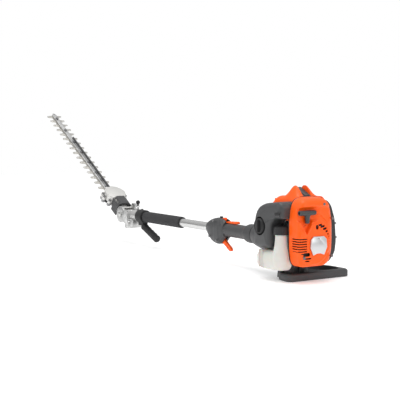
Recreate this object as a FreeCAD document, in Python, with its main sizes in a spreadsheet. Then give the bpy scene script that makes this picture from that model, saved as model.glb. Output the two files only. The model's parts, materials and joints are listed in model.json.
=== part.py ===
import FreeCAD, Part
import math
import os
from types import SimpleNamespace

import Sketcher
from FreeCAD import Placement, Rotation, Vector

# Pole hedge trimmer, in millimetres. X runs along the shaft: the blade points to -X and the engine is at +X.
# +Y is the machine's right (exhaust) and +Z is up. The origin is on the stand's flat underside, below the
# point where the cylinder's bore crosses the crank.

CELLS = {
    # frame
    "axis_height": 98.0,  # floor to the crank and shaft axis
    "fit": 0.05,  # radial clearance of a running shaft
    "gap": 0.4,  # clearance between bodies that don't touch
    "cover_wall": 2.5,
    # engine block
    "bore_d": 34.0,
    "stroke": 28.0,
    "rod_length": 56.0,
    "case_r": 40.0,
    "case_half": 34.0,
    "case_wall": 8.0,
    "web_r": 29.0,
    "web_t": 9.0,
    "rod_t": 8.0,
    "journal_d": 15.0,
    "bearing_d": 28.0,
    "fin_r": 36.0,
    "fin_t": 2.2,
    "fin_count": 8,
    "flywheel_r": 48.0,
    "flywheel_t": 12.0,
    "clutch_r": 31.0,
    "drum_wall": 3.0,
    "clutch_t": 14.0,
    "pulley_r": 32.0,
    # covers
    "cover_half": 62.0,
    "cover_low": 42.0,
    "cover_top": 213.0,
    "cover_front": 58.0,
    "cover_rear": 98.0,
    "fin_top": 240.0,
    "hood_front": -50.0,
    "filter_out": 88.0,
    "filter_in": 40.0,
    "filter_front": -60.0,
    "filter_rear": 56.0,
    "guard_out": 102.0,
    "guard_in": 64.0,
    # fuel
    "tank_wall": 2.4,
    "tank_length": 112.0,
    "neck_d": 30.0,
    "cap_d": 40.0,
    "cap_height": 22.0,
    # stand
    "stand_depth": 114.0,
    "stand_rear": 52.0,
    "stand_left": 60.0,
    "stand_right": 145.0,
    "stand_rim": 20.0,
    # shaft and handles
    "tube_d": 25.4,
    "tube_wall": 1.6,
    "tube_rear": -140.0,
    "tube_front": -868.0,
    "drive_d": 8.0,
    "bush_length": 12.0,
    "neck_rear": -152.0,
    "grip_d": 38.0,
    "grip_rear": -208.0,
    "grip_front": -298.0,
    "shell_front": -390.0,
    "shell_half": 22.0,
    "foam_d": 35.4,
    "foam_rear": -545.0,
    "foam_front": -772.0,
    "ring_d": 43.0,
    "ring_length": 36.0,
    "handle_d": 24.0,
    "handle_length": 100.0,
    "handle_slant": 22.0,
    "clamp_d": 36.0,
    "clamp_length": 54.0,
    # cutter head
    "pivot_x": -905.0,
    "tilt": 30.0,  # the blade's angle above the shaft at rest
    "drum_r": 24.0,
    "drum_half": 20.5,
    "cheek_t": 5.5,
    "cheek_r": 27.0,
    "pin_d": 8.0,
    "bevel_r": 8.4,  # pitch radius of the two small bevel gears
    "idler_r": 14.0,
    "crank_reach": 108.0,  # pivot to the blade crank
    "crank_gear_r": 28.0,
    "crank_pinion_r": 7.0,
    "throw": 8.0,  # half the blade stroke
    "eccentric_r": 9.0,
    "case_out": 36.0,
    # blades
    "first_tooth": 147.0,
    "tooth_pitch": 34.0,
    "tooth_count": 17,
    "tooth_reach": 28.5,
    "blade_back": 10.0,
    "blade_t": 2.2,
    "blade_top": -8.8,  # top of the upper blade, from the pivot
    "bar_t": 4.0,
    "bar_half": 8.0,
    "bolt_d": 6.0,
}

LEVER_Y = 19.0  # the tilt lock lies over the notched disc, beside the middle
FLANGE_BOLTS = [(-16, 37.5), (2, 41), (26, 31)]  # along and across the head, from the blade crank
CYLINDER_SCREWS = [(x, y) for x in (-25, 25) for y in (-25, 25)]

doc = FreeCAD.newDocument("hedge_trimmer")
sheet = doc.addObject("Spreadsheet::Sheet", "sizes")
for row, (alias, number) in enumerate(CELLS.items(), 1):
    sheet.set(f"A{row}", alias)
    sheet.set(f"B{row}", str(number))
    sheet.setAlias(f"B{row}", alias)
doc.recompute()

parts = []
shaft_rings, cap_screws, face_screws, lever_pins, head_bolts = [], [], [], [], []  # fixed pieces kept as sets


class Size:
    """A length that carries its sheet expression and its present value together."""

    def __init__(self, text, value):
        self.text = text
        self.value = value

    def __add__(self, other):
        return Size(f"({self.text} + {text_of(other)})", self.value + value_of(other))

    __radd__ = __add__

    def __sub__(self, other):
        return Size(f"({self.text} - {text_of(other)})", self.value - value_of(other))

    def __rsub__(self, other):
        return Size(f"({text_of(other)} - {self.text})", value_of(other) - self.value)

    def __mul__(self, other):
        return Size(f"({self.text} * {text_of(other)})", self.value * value_of(other))

    __rmul__ = __mul__

    def __truediv__(self, other):
        return Size(f"({self.text} / {text_of(other)})", self.value / value_of(other))

    def __neg__(self):
        return Size(f"(0 - {self.text})", -self.value)


def text_of(size):
    return size.text if isinstance(size, Size) else str(size)


def value_of(size):
    return size.value if isinstance(size, Size) else size


d = SimpleNamespace(**{alias: Size(f"sizes.{alias}", float(sheet.get(alias))) for alias in CELLS})
TURN = {"x": Rotation(Vector(0, 1, 0), 90), "y": Rotation(Vector(1, 0, 0), -90), "z": Rotation()}
NORMAL = {"XY": 1, "YZ": 1, "XZ": -1}  # which way each origin plane faces along its own axis


# ---- builders ----

def bind(thing, **sizes):
    for name, size in sizes.items():
        thing.setExpression(name, text_of(size))
    return thing


def put(thing, at, turn=Rotation()):
    """Place a thing, with the coordinates that are Sizes bound to the sheet."""
    thing.Placement = Placement(Vector(*[value_of(each) for each in at]), turn)
    for letter, size in zip("xyz", at):
        if isinstance(size, Size):
            thing.setExpression(f"Placement.Base.{letter}", size.text)
    return thing


def rod(radius, length, at, along="x", angle=360):
    """A round bar that starts at a point and runs towards plus along one axis."""
    thing = bind(doc.addObject("Part::Cylinder", "rod"), Radius=radius, Height=length, Angle=angle)
    return put(thing, at, TURN[along])


def cone(low_r, high_r, length, at, along="x"):
    thing = bind(doc.addObject("Part::Cone", "cone"), Radius1=low_r, Radius2=high_r, Height=length)
    return put(thing, at, TURN[along])


def block(lengths, at, turn=Rotation()):
    """A box from its low corner."""
    length, width, height = lengths
    thing = bind(doc.addObject("Part::Box", "block"), Length=length, Width=width, Height=height)
    return put(thing, at, turn)


def ball(radius, at):
    return put(bind(doc.addObject("Part::Sphere", "ball"), Radius=radius), at)


def fuse(*things):
    thing = doc.addObject("Part::MultiFuse", "fuse")
    thing.Shapes = list(things)
    return thing


def cut(base, *tools):
    thing = doc.addObject("Part::Cut", "cut")
    thing.Base = base
    thing.Tool = tools[0] if len(tools) == 1 else fuse(*tools)
    return thing


def group(*things):
    thing = doc.addObject("Part::Compound", "group")
    thing.Links = list(things)
    return thing


def tube(outer, inner, length, at, along="x"):
    """A pipe, with its hole run past both ends."""
    low = [each - 1 if letter == along else each for letter, each in zip("xyz", at)]
    return cut(rod(outer, length, at, along), rod(inner, length + 2, low, along))


def node(label, thing):
    """Name a sub-part of the base, where it was built."""
    thing.Label = label
    parts.append(thing)
    return thing


def head_node(label, thing):
    """Name a sub-part of the cutter head: built with the pivot at the origin, then tilted."""
    holder = thing if thing.TypeId in ("Part::Cut", "Part::MultiFuse", "PartDesign::Body") else group(thing)
    put(holder, (d.pivot_x, 0, d.axis_height), Rotation(Vector(0, 1, 0), d.tilt.value))
    holder.setExpression("Placement.Rotation.Angle", d.tilt.text)
    return node(label, holder)


def new_body():
    return doc.addObject("PartDesign::Body", "body")


def plane_of(body, name):
    return next(each for each in body.Origin.OriginFeatures if each.Role == f"{name}_Plane")


def sketch_on(body, plane, offset, *loops):
    """A sketch of closed corner-to-corner loops, with every corner held to its sizes."""
    sketch = body.newObject("Sketcher::SketchObject", "outline")
    sketch.AttachmentSupport = (plane_of(body, plane), [""])
    sketch.MapMode = "FlatFace"
    bind(sketch, **{"AttachmentOffset.Base.z": offset * NORMAL[plane]})
    for points in loops:
        first = sketch.GeometryCount
        corners = [Vector(value_of(across), value_of(up), 0) for across, up in points]
        ends = corners[1:] + corners[:1]
        for start, end in zip(corners, ends):
            sketch.addGeometry(Part.LineSegment(start, end))
        for index, point in enumerate(points):
            following = first + (index + 1) % len(points)
            sketch.addConstraint(Sketcher.Constraint("Coincident", first + index, 2, following, 1))
            for kind, size, axis in zip(("DistanceX", "DistanceY"), point, (-2, -1)):
                hold_corner(sketch, kind, size, axis, first + index)
    return sketch


def hold_corner(sketch, kind, size, axis, line):
    if not isinstance(size, Size) and size == 0:
        sketch.addConstraint(Sketcher.Constraint("PointOnObject", line, 1, axis))
        return
    number = sketch.addConstraint(Sketcher.Constraint(kind, -1, 1, line, 1, value_of(size)))
    if isinstance(size, Size):
        sketch.setExpression(f"Constraints[{number}]", size.text)


def slab(body, plane, low, high, *loops):
    """A pad between two heights on the plane's own axis."""
    start = low if NORMAL[plane] > 0 else high
    pad = body.newObject("PartDesign::Pad", "pad")
    pad.Profile = sketch_on(body, plane, start, *loops)
    return bind(pad, Length=high - low)


def carve(body, plane, low, high, *loops):
    """A pocket between two heights on the plane's own axis."""
    start = low if NORMAL[plane] > 0 else high
    pocket = body.newObject("PartDesign::Pocket", "pocket")
    pocket.Profile = sketch_on(body, plane, start, *loops)
    pocket.Reversed = True
    return bind(pocket, Length=high - low)


def turned(body, *points):
    """A revolved blank about the body's Z axis: the corners are radius and height."""
    spin = body.newObject("PartDesign::Revolution", "turned")
    spin.Profile = sketch_on(body, "XZ", 0, points)
    spin.ReferenceAxis = (spin.Profile[0], ["V_Axis"])
    spin.Angle = 360
    return spin


def repeat_round(body, feature, count):
    pattern = body.newObject("PartDesign::PolarPattern", "round")
    pattern.Originals = [feature]
    pattern.Axis = (feature.Profile[0], ["N_Axis"])
    pattern.Angle = 360
    bind(pattern, Occurrences=count)
    body.Tip = pattern
    return pattern


def repeat_along(body, feature, axis, length, count):
    pattern = body.newObject("PartDesign::LinearPattern", "row")
    pattern.Originals = [feature]
    pattern.Direction = (feature.Profile[0], [axis])
    bind(pattern, Length=length, Occurrences=count)
    body.Tip = pattern
    return pattern


def soften(body, feature, radius, wanted, kind="Fillet"):
    """Round or chamfer the edges that a test picks."""
    doc.recompute()
    names = [f"Edge{number}" for number, edge in enumerate(feature.Shape.Edges, 1) if wanted(edge)]
    edge_work = body.newObject(f"PartDesign::{kind}", "edges")
    edge_work.Base = (feature, names)
    setattr(edge_work, "Radius" if kind == "Fillet" else "Size", radius)
    body.Tip = edge_work
    return edge_work


def lies_at(letter, place):
    """A test for edges that lie at one height on an axis."""
    def wanted(edge):
        box = edge.BoundBox
        low, high = getattr(box, f"{letter.upper()}Min"), getattr(box, f"{letter.upper()}Max")
        return abs(low - place) < 0.01 and abs(high - place) < 0.01
    return wanted


def inset(points, wall):
    """The same corners moved in by a wall, for a loop that is drawn anticlockwise."""
    flat = [(value_of(across), value_of(up)) for across, up in points]
    moved = []
    for index, (across, up) in enumerate(points):
        before, here, after = flat[index - 1], flat[index], flat[(index + 1) % len(flat)]
        first = Vector(here[0] - before[0], here[1] - before[1], 0).normalize()
        second = Vector(after[0] - here[0], after[1] - here[1], 0).normalize()
        lean = 1 + first.dot(second)
        miter = Vector(-first.y - second.y, first.x + second.x, 0) / lean
        moved.append((across + wall * miter.x, up + wall * miter.y))
    return moved


def mirrored(points):
    """A half outline given from the bottom to the top on the plus side, closed by its mirror."""
    return list(points) + [(-across, up) for across, up in reversed(points)]


def ring_of(count, radius, maker):
    """Things made at even angles round a circle: maker takes the two coordinates."""
    angles = [2 * math.pi * index / count for index in range(count)]
    return [maker(radius * math.cos(angle), radius * math.sin(angle)) for angle in angles]


def screw(at, along="z", head_r=4.0, head_t=3.5, shank_r=2.0, shank=10.0):
    """A cap screw whose head stands on a face and whose shank runs towards minus along the axis."""
    low = [each - shank if letter == along else each for letter, each in zip("xyz", at)]
    return fuse(rod(head_r, head_t, at, along), rod(shank_r, shank, low, along))


# ---- engine block ----

def crankcase():
    inner = d.case_half - d.case_wall
    seat = d.axis_height + d.case_r - 2
    body = fuse(rod(d.case_r, d.case_half * 2, (-d.case_half, 0, d.axis_height)),
                block((60, 60, 16), (-30, -30, seat - 12)),
                block((44, 70, 30), (-22, -35, 46)))
    cavity = rod(d.web_r + 2, inner * 2, (-inner, 0, d.axis_height))
    bearings = rod(d.bearing_d / 2, d.case_half * 2 + 2, (-d.case_half - 1, 0, d.axis_height))
    well = rod(d.bore_d / 2 + 2.5, 60, (0, 0, d.axis_height), "z")
    holes = [rod(2.05, 30, (x, y, seat - 10), "z") for x, y in CYLINDER_SCREWS]
    node("crankcase", cut(body, cavity, bearings, well, *holes))
    width = d.case_wall - 1
    shaft_rings.extend(tube(d.bearing_d / 2, d.journal_d / 2 + d.fit, width, (x, 0, d.axis_height))
                       for x in (-d.case_half + 0.5, d.case_half - width - 0.5))


def cylinder():
    base = d.axis_height + d.case_r + 2
    bore_top = d.axis_height + d.stroke / 2 + d.rod_length + 16
    wall = rod(d.bore_d / 2 + 5, bore_top + 8 - base, (0, 0, base), "z")
    skirt = rod(d.bore_d / 2 + 2.4, 16, (0, 0, base - 10), "z")
    flange = block((60, 60, 6), (-30, -30, base))
    step = 6.0
    fins = [rod(d.fin_r, d.fin_t, (0, 0, base + 10.5 + step * index), "z")
            for index in range(int(d.fin_count.value))]
    exhaust = block((26, 8, 22), (-13, d.fin_r - 6, base + 14))
    intake = block((26, 8, 22), (-13, -d.fin_r - 2, base + 14))
    bore = rod(d.bore_d / 2 + d.fit, bore_top - base + 12, (0, 0, base - 12), "z")
    plug_hole = rod(5, 20, (0, 0, bore_top - 1), "z")
    out_port = rod(8, 40, (0, 4, base + 25), "y")
    in_port = rod(7, 40, (0, -44, base + 25), "y")
    seat = bore_top + 8
    plug_well = rod(10, 20, (0, 0, seat), "z")
    holes = [rod(2.05, 30, (x, y, base - 20), "z") for x, y in CYLINDER_SCREWS]
    block_solid = fuse(wall, skirt, flange, exhaust, intake, *fins)
    node("cylinder", cut(block_solid, bore, plug_hole, plug_well, out_port, in_port, *holes))
    node("spark_plug", fuse(rod(4.95, 11, (0, 0, seat - 8.5), "z"), rod(9, 5, (0, 0, seat + 0.2), "z"),
                            cone(6, 4, 9, (0, 0, seat + 5), "z")))
    cap_screws.extend(screw((x, y, base + 6)) for x, y in CYLINDER_SCREWS)


def crank():
    """The two half cranks: full discs, so that the pin between them never meets the piston's rod."""
    half_gap = d.rod_t / 2 + 1
    z = d.axis_height
    front = d.case_half + 27
    rear = d.case_half + 44
    webs = [rod(d.web_r, d.web_t, (half_gap, 0, z)), rod(d.web_r, d.web_t, (-half_gap - d.web_t, 0, z))]
    journals = [rod(d.journal_d / 2, rear - half_gap, (half_gap, 0, z)),
                rod(d.journal_d / 2, front - half_gap, (-front, 0, z))]
    node("crankshaft", group(fuse(webs[0], journals[0]), fuse(webs[1], journals[1])))
    flywheel_x = d.case_half + 6
    body = new_body()
    turned(body, (d.journal_d / 2, 0), (d.flywheel_r, 0), (d.flywheel_r, 4), (22, 4), (22, d.flywheel_t),
           (d.journal_d / 2, d.flywheel_t))
    tip = d.flywheel_r - 1
    vane = slab(body, "XY", 3, d.flywheel_t, [(24, -1), (tip, 5), (tip, 7), (24, 1)])
    repeat_round(body, vane, 14)
    put(body, (flywheel_x, 0, z), TURN["x"])
    node("flywheel", body)
    clutch_x = -d.case_half - 27
    hub = fuse(tube(12, d.journal_d / 2, d.clutch_t, (clutch_x, 0, z)),
               cut(block((d.clutch_t, 40, 8), (clutch_x, -20, z - 4)),
                   rod(d.journal_d / 2, d.clutch_t + 2, (clutch_x - 1, 0, z))))
    shoes = [cut(rod(d.clutch_r, d.clutch_t - 2, (clutch_x + 1, 0, z)), rod(18, d.clutch_t, (clutch_x, 0, z)),
                 block((d.clutch_t, 70, 70), (clutch_x, -35, low)),
                 block((d.clutch_t, 42, 8.6), (clutch_x, -21, z - 4.3)))
             for low in (z - 70 + 4.5, z - 4.5)]
    node("clutch", group(hub, *shoes))


def piston():
    crown = d.axis_height + d.stroke / 2 + d.rod_length + 14
    pin_z = d.axis_height + d.stroke / 2 + d.rod_length
    outer = d.bore_d / 2 - d.fit
    inside = rod(outer - 3, 19.5, (0, 0, crown - 24.5), "z")
    pin_hole = rod(4.5, d.bore_d, (-d.bore_d / 2, 0, pin_z), "x")
    bosses = [rod(7, 8, (x, 0, pin_z), "x") for x in (-13, 5)]
    skirt = fuse(cut(rod(outer, 24, (0, 0, crown - 24), "z"), inside), *bosses)
    node("piston", cut(skirt, pin_hole))
    piston_pin = rod(4.5, 27, (-13.5, 0, pin_z), "x")
    eye = fuse(rod(8, d.rod_t, (-d.rod_t / 2, 0, pin_z)),
               rod(11, d.rod_t, (-d.rod_t / 2, 0, pin_z - d.rod_length)),
               block((5, 9, d.rod_length), (-2.5, -4.5, pin_z - d.rod_length)))
    bare_rod = cut(eye, rod(4.5, 20, (-10, 0, pin_z)), rod(5.5, 20, (-10, 0, pin_z - d.rod_length)))
    crank_pin = rod(5.5, d.rod_t, (-d.rod_t / 2, 0, pin_z - d.rod_length))
    node("connecting_rod", group(bare_rod, piston_pin, crank_pin))


def exhaust():
    base = d.axis_height + d.case_r + 2
    body = new_body()
    shape = [(-30, base - 30), (32, base - 30), (36, base - 24), (36, base + 44), (30, base + 52),
             (-28, base + 52), (-34, base + 44), (-34, base - 24)]
    pad = slab(body, "XZ", d.fin_r + 2.2, d.guard_out - 9, shape)
    soften(body, pad, 4, lies_at("y", d.guard_out.value - 9))
    carve(body, "XZ", d.fin_r + 4, d.guard_out - 11, inset(shape, 2.0))
    inlet = rod(8, 4, (0, d.fin_r + 1, base + 25), "y")
    outlet = rod(5, 12, (20, d.guard_out - 18, base + 10), "y")
    node("muffler", cut(body, inlet, outlet))
    guard = new_body()
    outline = [(-38, 44), (44, 44), (50, 60), (50, 180), (38, 200), (-30, 200), (-42, 186), (-42, 60)]
    shell = slab(guard, "XZ", d.guard_in, d.guard_out, outline)
    soften(guard, shell, 7, lies_at("y", d.guard_out.value))
    carve(guard, "XZ", d.guard_in - 1, d.guard_out - 2.4, inset(outline, 2.4))
    slots = [(-26, 4), (8, 30)]
    loops = [[(low, z), (high, z), (high, z + 5), (low, z + 5)]
             for z in range(70, 180, 12) for low, high in slots]
    carve(guard, "XZ", d.guard_out - 4, d.guard_out + 1, *loops)
    posts = [fuse(rod(3.5, 9, (30, d.guard_out + 0.2, z), "y"), rod(2, 3, (30, d.guard_out - 2.4, z), "y"))
             for z in (d.axis_height + 4, d.axis_height + 42)]
    node("muffler_guard", fuse(guard, *posts))


# ---- covers ----

def rear_outline():
    half = d.cover_half
    return mirrored([(half - 16, d.cover_low), (half - 3, d.cover_low + 26), (half, d.cover_low + 62),
                     (half, d.cover_low + 112), (half - 8, d.cover_top - 26), (half - 20, d.cover_top)])


def starter_cover():
    body = new_body()
    outline = rear_outline()
    pad = slab(body, "YZ", d.cover_front, d.cover_rear, outline)
    soften(body, pad, 9, lies_at("x", d.cover_rear.value), "Chamfer")
    carve(body, "YZ", d.cover_front - 1, d.cover_rear - 10, inset(outline, d.cover_wall))
    middle = inset(outline, 12)
    carve(body, "YZ", d.cover_rear - 10.5, d.cover_rear - d.cover_wall, middle)
    slots = [[(-44, z), (-22, z), (-22, z + 2.6), (-44, z + 2.6)] for z in range(64, 112, 6)]
    carve(body, "YZ", d.cover_rear - 6, d.cover_rear + 1, *slots)
    fan = [slanted_slot(angle) for angle in range(-38, 62, 9)]
    carve(body, "YZ", d.cover_rear - 6, d.cover_rear + 1, *fan)
    handle_z = d.axis_height + 78
    rope_hole = rod(4, 60, (d.cover_rear - 14, -d.pulley_r, d.axis_height + 30), "z")
    recess = block((16, 68, 21), (d.cover_rear - 12, -70, handle_z - 10.5))
    channel = block((16, 16, 22), (d.cover_rear - 12, -d.pulley_r - 8, handle_z - 30))
    floor = block((14.4, 52, 44), (d.cover_rear - 14.5, -52, handle_z - 30))
    places = [(-44, 66), (44, 66), (46, 160), (18, 196)]
    holes = [rod(1.85, 20, (d.cover_rear - 12, y, z)) for y, z in places]
    seats = [rod(3.7, 4, (d.cover_rear - 0.5, y, z)) for y, z in places]
    post = fuse(rod(6 - d.fit, 10, (d.cover_rear - 18.5, 0, d.axis_height)),
                rod(9, 8, (d.cover_rear - 9.6, 0, d.axis_height)))
    node("starter_cover", cut(fuse(body, floor, post), recess, channel, rope_hole, *holes, *seats))
    node("badge_plate", cut(badge(), rod(1.5, 8, (d.cover_rear - 4, 0, d.axis_height + 14))))
    face_screws.extend(screw((d.cover_rear - 0.5, y, z), "x", 3.6, 2.0, 1.8, 8) for y, z in places)


def slanted_slot(angle):
    """One louvre of the fan on the rear cover's right side, as a thin loop at an angle round the crank."""
    turn = math.radians(angle)
    across = Vector(math.cos(turn), math.sin(turn), 0)
    side = Vector(-across.y, across.x, 0) * 1.6
    corners = [across * 38 - side, across * 52 - side, across * 52 + side, across * 38 + side]
    return [(point.x, d.axis_height + 14 + point.y) for point in corners]


def badge():
    body = new_body()
    z = d.axis_height
    slab(body, "YZ", d.cover_rear + 0.2, d.cover_rear + 3,
         [(-17, z - 27), (-6, z - 23), (6, z - 23), (17, z - 27), (26, z - 8), (24, z + 12), (16, z + 19),
          (-16, z + 19), (-24, z + 12), (-26, z - 8)])
    return body


def hood():
    """The orange cover over the cylinder, with the two fins on top and the grille between them."""
    top = d.cover_top
    outline = [(60, 152), (60, top - 20), (34, top), (-32, top), (-39.6, top - 14), (-39.6, 152)]
    body = new_body()
    slab(body, "YZ", d.hood_front, d.cover_front - 0.5, outline)
    inner = inset(outline, d.cover_wall)
    inner[0] = (inner[0][0], 150)
    inner[-1] = (inner[-1][0], 150)
    carve(body, "YZ", d.hood_front + d.cover_wall, d.cover_front, inner)
    vents = [[(y, 186), (y + 4, 186), (y + 4, 204), (y, 204)] for y in range(-26, 44, 9)]
    carve(body, "YZ", d.hood_front - 1, d.hood_front + 4, *vents)
    fins = []
    for side in (1, -1):
        fin = new_body()
        slab(fin, "YZ", -6, 46, [(side * 13, top - 1), (side * 42, top - 1), (side * 22, d.fin_top),
                                 (side * 14, d.fin_top)][::side])
        fins.append(fin)
    open_side = block((120, 40, 45), (-56, 37, 149.5))  # the exhaust stands here
    carb_side = block((36, 8, 32), (-21, -43, 149))
    node("engine_hood", cut(fuse(body, *fins), open_side, carb_side))
    grille = new_body()
    steps = [(-6, top + 0.3), (46, top + 0.3)]
    for index in range(6):
        x = 46 - 8 * index
        steps += [(x, top + 5 + 3 * index), (x - 5, top + 5 + 3 * index), (x - 5, top + 3 + 3 * index)]
    steps.append((-6, top + 18))
    slab(grille, "XZ", -12.7, 12.7, steps)
    node("top_grille", grille)


def air_filter():
    low, front, rear = 82, d.filter_front, d.filter_rear
    outline = [(front, low), (10, low), (10, 140), (16, 152), (28, 160), (rear, 160), (rear, 190),
               (rear - 12, 202), (front + 40, 194), (front + 14, 182), (front, 142)]
    body = new_body()
    pad = slab(body, "XZ", -d.filter_out, -d.filter_in, outline)
    soften(body, pad, 8, lies_at("y", -d.filter_out.value), "Chamfer")
    carve(body, "XZ", -d.filter_out + 10, -d.filter_in + 1, inset(outline, d.cover_wall))
    carve(body, "XZ", -d.filter_out + d.cover_wall, -d.filter_out + 10.5, inset(outline, 13))
    stud_hole = rod(3.2, 20, (-29, -d.filter_out - 5, 137), "y")
    lever_hole = rod(2.1, 20, (44, -d.filter_out - 5, 172), "y")
    node("filter_cover", cut(body, stud_hole, lever_hole))
    knob_y = -d.filter_out - 12
    rib = block((5, 4, 34), (-31.5, knob_y - 3, 120))
    stud = rod(3, 26, (-29, knob_y, 137), "y")
    node("filter_knob", fuse(rod(20, 11.6, (-29, knob_y, 137), "y"), rib, stud))
    plate = block((58, 3, 48), (front + 8, -54, 106))
    throat = rod(7, 10, (0, -58, d.axis_height + d.case_r + 27), "y")
    boss, thread = rod(7, 10, (-29, -60, 137), "y"), rod(3.2, 20, (-29, -66, 137), "y")
    node("filter_base", cut(fuse(plate, boss), throat, thread))
    node("filter_foam", cut(block((56, 14, 50), (front + 11, -70, 109)), rod(9, 20, (-29, -74, 137), "y")))
    z = d.axis_height + d.case_r + 27
    carb = fuse(block((26, 12.2, 26), (-18, -50.5, z - 14)), rod(4, 26, (-19, -45, z + 6), "x"))
    node("carburettor", cut(carb, rod(7, 20, (0, -56, z), "y")))
    z_lever = 172
    node("choke_lever", fuse(rod(4, 4, (44, -d.filter_out - 4.4, z_lever), "y"),
                             block((16, 3, 5), (44, -d.filter_out - 4.4, z_lever - 2.5)),
                             rod(2.0, 4.2, (44, -d.filter_out - 0.4, z_lever), "y")))


def fuel():
    low, high = 27.0, 77.0
    end = d.filter_rear + 0.6
    start = end - d.tank_length
    outline = [(start + 10, low), (end - 10, low), (end, low + 12), (end, high - 8), (end - 9, high),
               (start + 16, high), (start, high - 14), (start, low + 10)]
    body = new_body()
    pad = slab(body, "XZ", -86, -44, outline)
    soften(body, pad, 7, lies_at("y", -86), "Chamfer")
    carve(body, "XZ", -86 + 9, -44 - d.tank_wall, inset(outline, d.tank_wall))
    x, y = end - 20.8, -66
    neck_at = (x, y, high - 2)
    seam = cut(block((d.tank_length - 4, 46, 2.4), (start + 2, -87.5, 50)),
               block((d.tank_length - 14, 44, 4), (start + 7, -84, 49)))
    outer = fuse(body, seam, rod(d.neck_d / 2, 44, neck_at, "z"))
    node("fuel_tank", cut(outer, rod(d.neck_d / 2 - 3, 60, (x, y, high - 10), "z")))
    cap_low = high + 43
    grips = ring_of(18, d.cap_d / 2 - 0.6, lambda across, along: rod(1.2, d.cap_height - 4,
                                                                    (x + across, y + along, cap_low), "z"))
    plug = rod(d.neck_d / 2 - 3.4, 10, (x, y, cap_low - 9.6), "z")
    node("fuel_cap", fuse(rod(d.cap_d / 2 - 0.8, d.cap_height, (x, y, cap_low), "z"), plug, *grips))


def stand():
    front = d.stand_rear - d.stand_depth
    left, right = -d.stand_left, d.stand_right
    outline = [(front, left + 14), (front + 14, left), (d.stand_rear - 12, left), (d.stand_rear, left + 12),
               (d.stand_rear, right - 34), (d.stand_rear - 18, right - 8), (d.stand_rear - 44, right),
               (front + 40, right), (front + 12, right - 14), (front, right - 40)]
    body = new_body()
    pad = slab(body, "XY", 0, d.stand_rim, outline)
    soften(body, pad, 4, lies_at("z", d.stand_rim.value))
    carve(body, "XY", 5, d.stand_rim + 1, inset(outline, 7))
    legs = [block((16, 12, 42), (x, y, 4)) for x in (-22, 6) for y in (-30, 18)]
    node("stand", fuse(body, *legs))


# ---- recoil starter and driveline ----

def recoil():
    z = d.axis_height
    x = d.cover_rear - 18
    body = new_body()
    turned(body, (6, 0), (d.pulley_r + 3, 0), (d.pulley_r + 3, 1.6), (d.pulley_r - 2, 3), (d.pulley_r - 2, 5),
           (d.pulley_r + 3, 6.4), (d.pulley_r + 3, 8), (6, 8))
    put(body, (x, 0, z), TURN["x"])
    node("starter_pulley", body)
    rope_x = d.cover_rear - 14
    node("starter_rope", rod(1.6, 46, (rope_x, -d.pulley_r, z + 6), "z"))
    bar = rod(6.5, 52, (rope_x + 10, -d.pulley_r - 26, z + 78), "y")
    neck = rod(4.6, 20, (rope_x + 10, -d.pulley_r, z + 52), "z")
    node("starter_handle", fuse(bar, neck))


def driveline():
    z = d.axis_height
    drum_x = -d.case_half - 32
    outer = d.clutch_r + 1.5 + d.drum_wall
    cup = cut(rod(outer, d.clutch_t + 8, (drum_x, 0, z)), rod(outer - d.drum_wall, 40, (drum_x + 3.6, 0, z)))
    boss = rod(11, 16, (drum_x - 14, 0, z))
    node("clutch_drum", cut(fuse(cup, boss), rod(d.drive_d / 2, 40, (drum_x - 20, 0, z))))
    end = d.pivot_x + 30
    node("drive_shaft", rod(d.drive_d / 2, drum_x + 2 - end, (end, 0, z)))
    count = 5
    first, last = d.tube_front + 40, d.tube_rear - 40
    step = (last - first) / (count - 1)
    inner = d.tube_d / 2 - d.tube_wall
    bushes = [tube(inner, d.drive_d / 2 + d.fit, d.bush_length, (first + step * index, 0, z))
              for index in range(count)]
    shaft_rings.extend(bushes)
    pinion = gear(12, d.bevel_r, 5.8, 6.4, 0, 1.8)
    put(pinion, (d.pivot_x + 14.8, 0, z), Rotation(Vector(0, 1, 0), -90))
    hub = rod(6.2, 22, (d.pivot_x + 14.6, 0, z))
    node("input_pinion", cut(fuse(pinion, hub), rod(d.drive_d / 2, 20, (end, 0, z))))


def gear(teeth, big_r, small_r, face, bore, depth):
    """A bevel gear's blank with straight notches cut round its rim: its big end is at the body's origin."""
    body = new_body()
    profile = [(bore, 0), (big_r, 0), (small_r, face), (bore, face)]
    turned(body, *profile)
    width = math.pi * value_of(big_r) / teeth / 2
    notch = carve(body, "XY", -1, face + 1, [(big_r - depth, -width / 3), (big_r + 2, -width / 2),
                                             (big_r + 2, width / 2), (big_r - depth, width / 3)])
    repeat_round(body, notch, teeth)
    return body


# ---- shaft and handles ----

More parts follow.
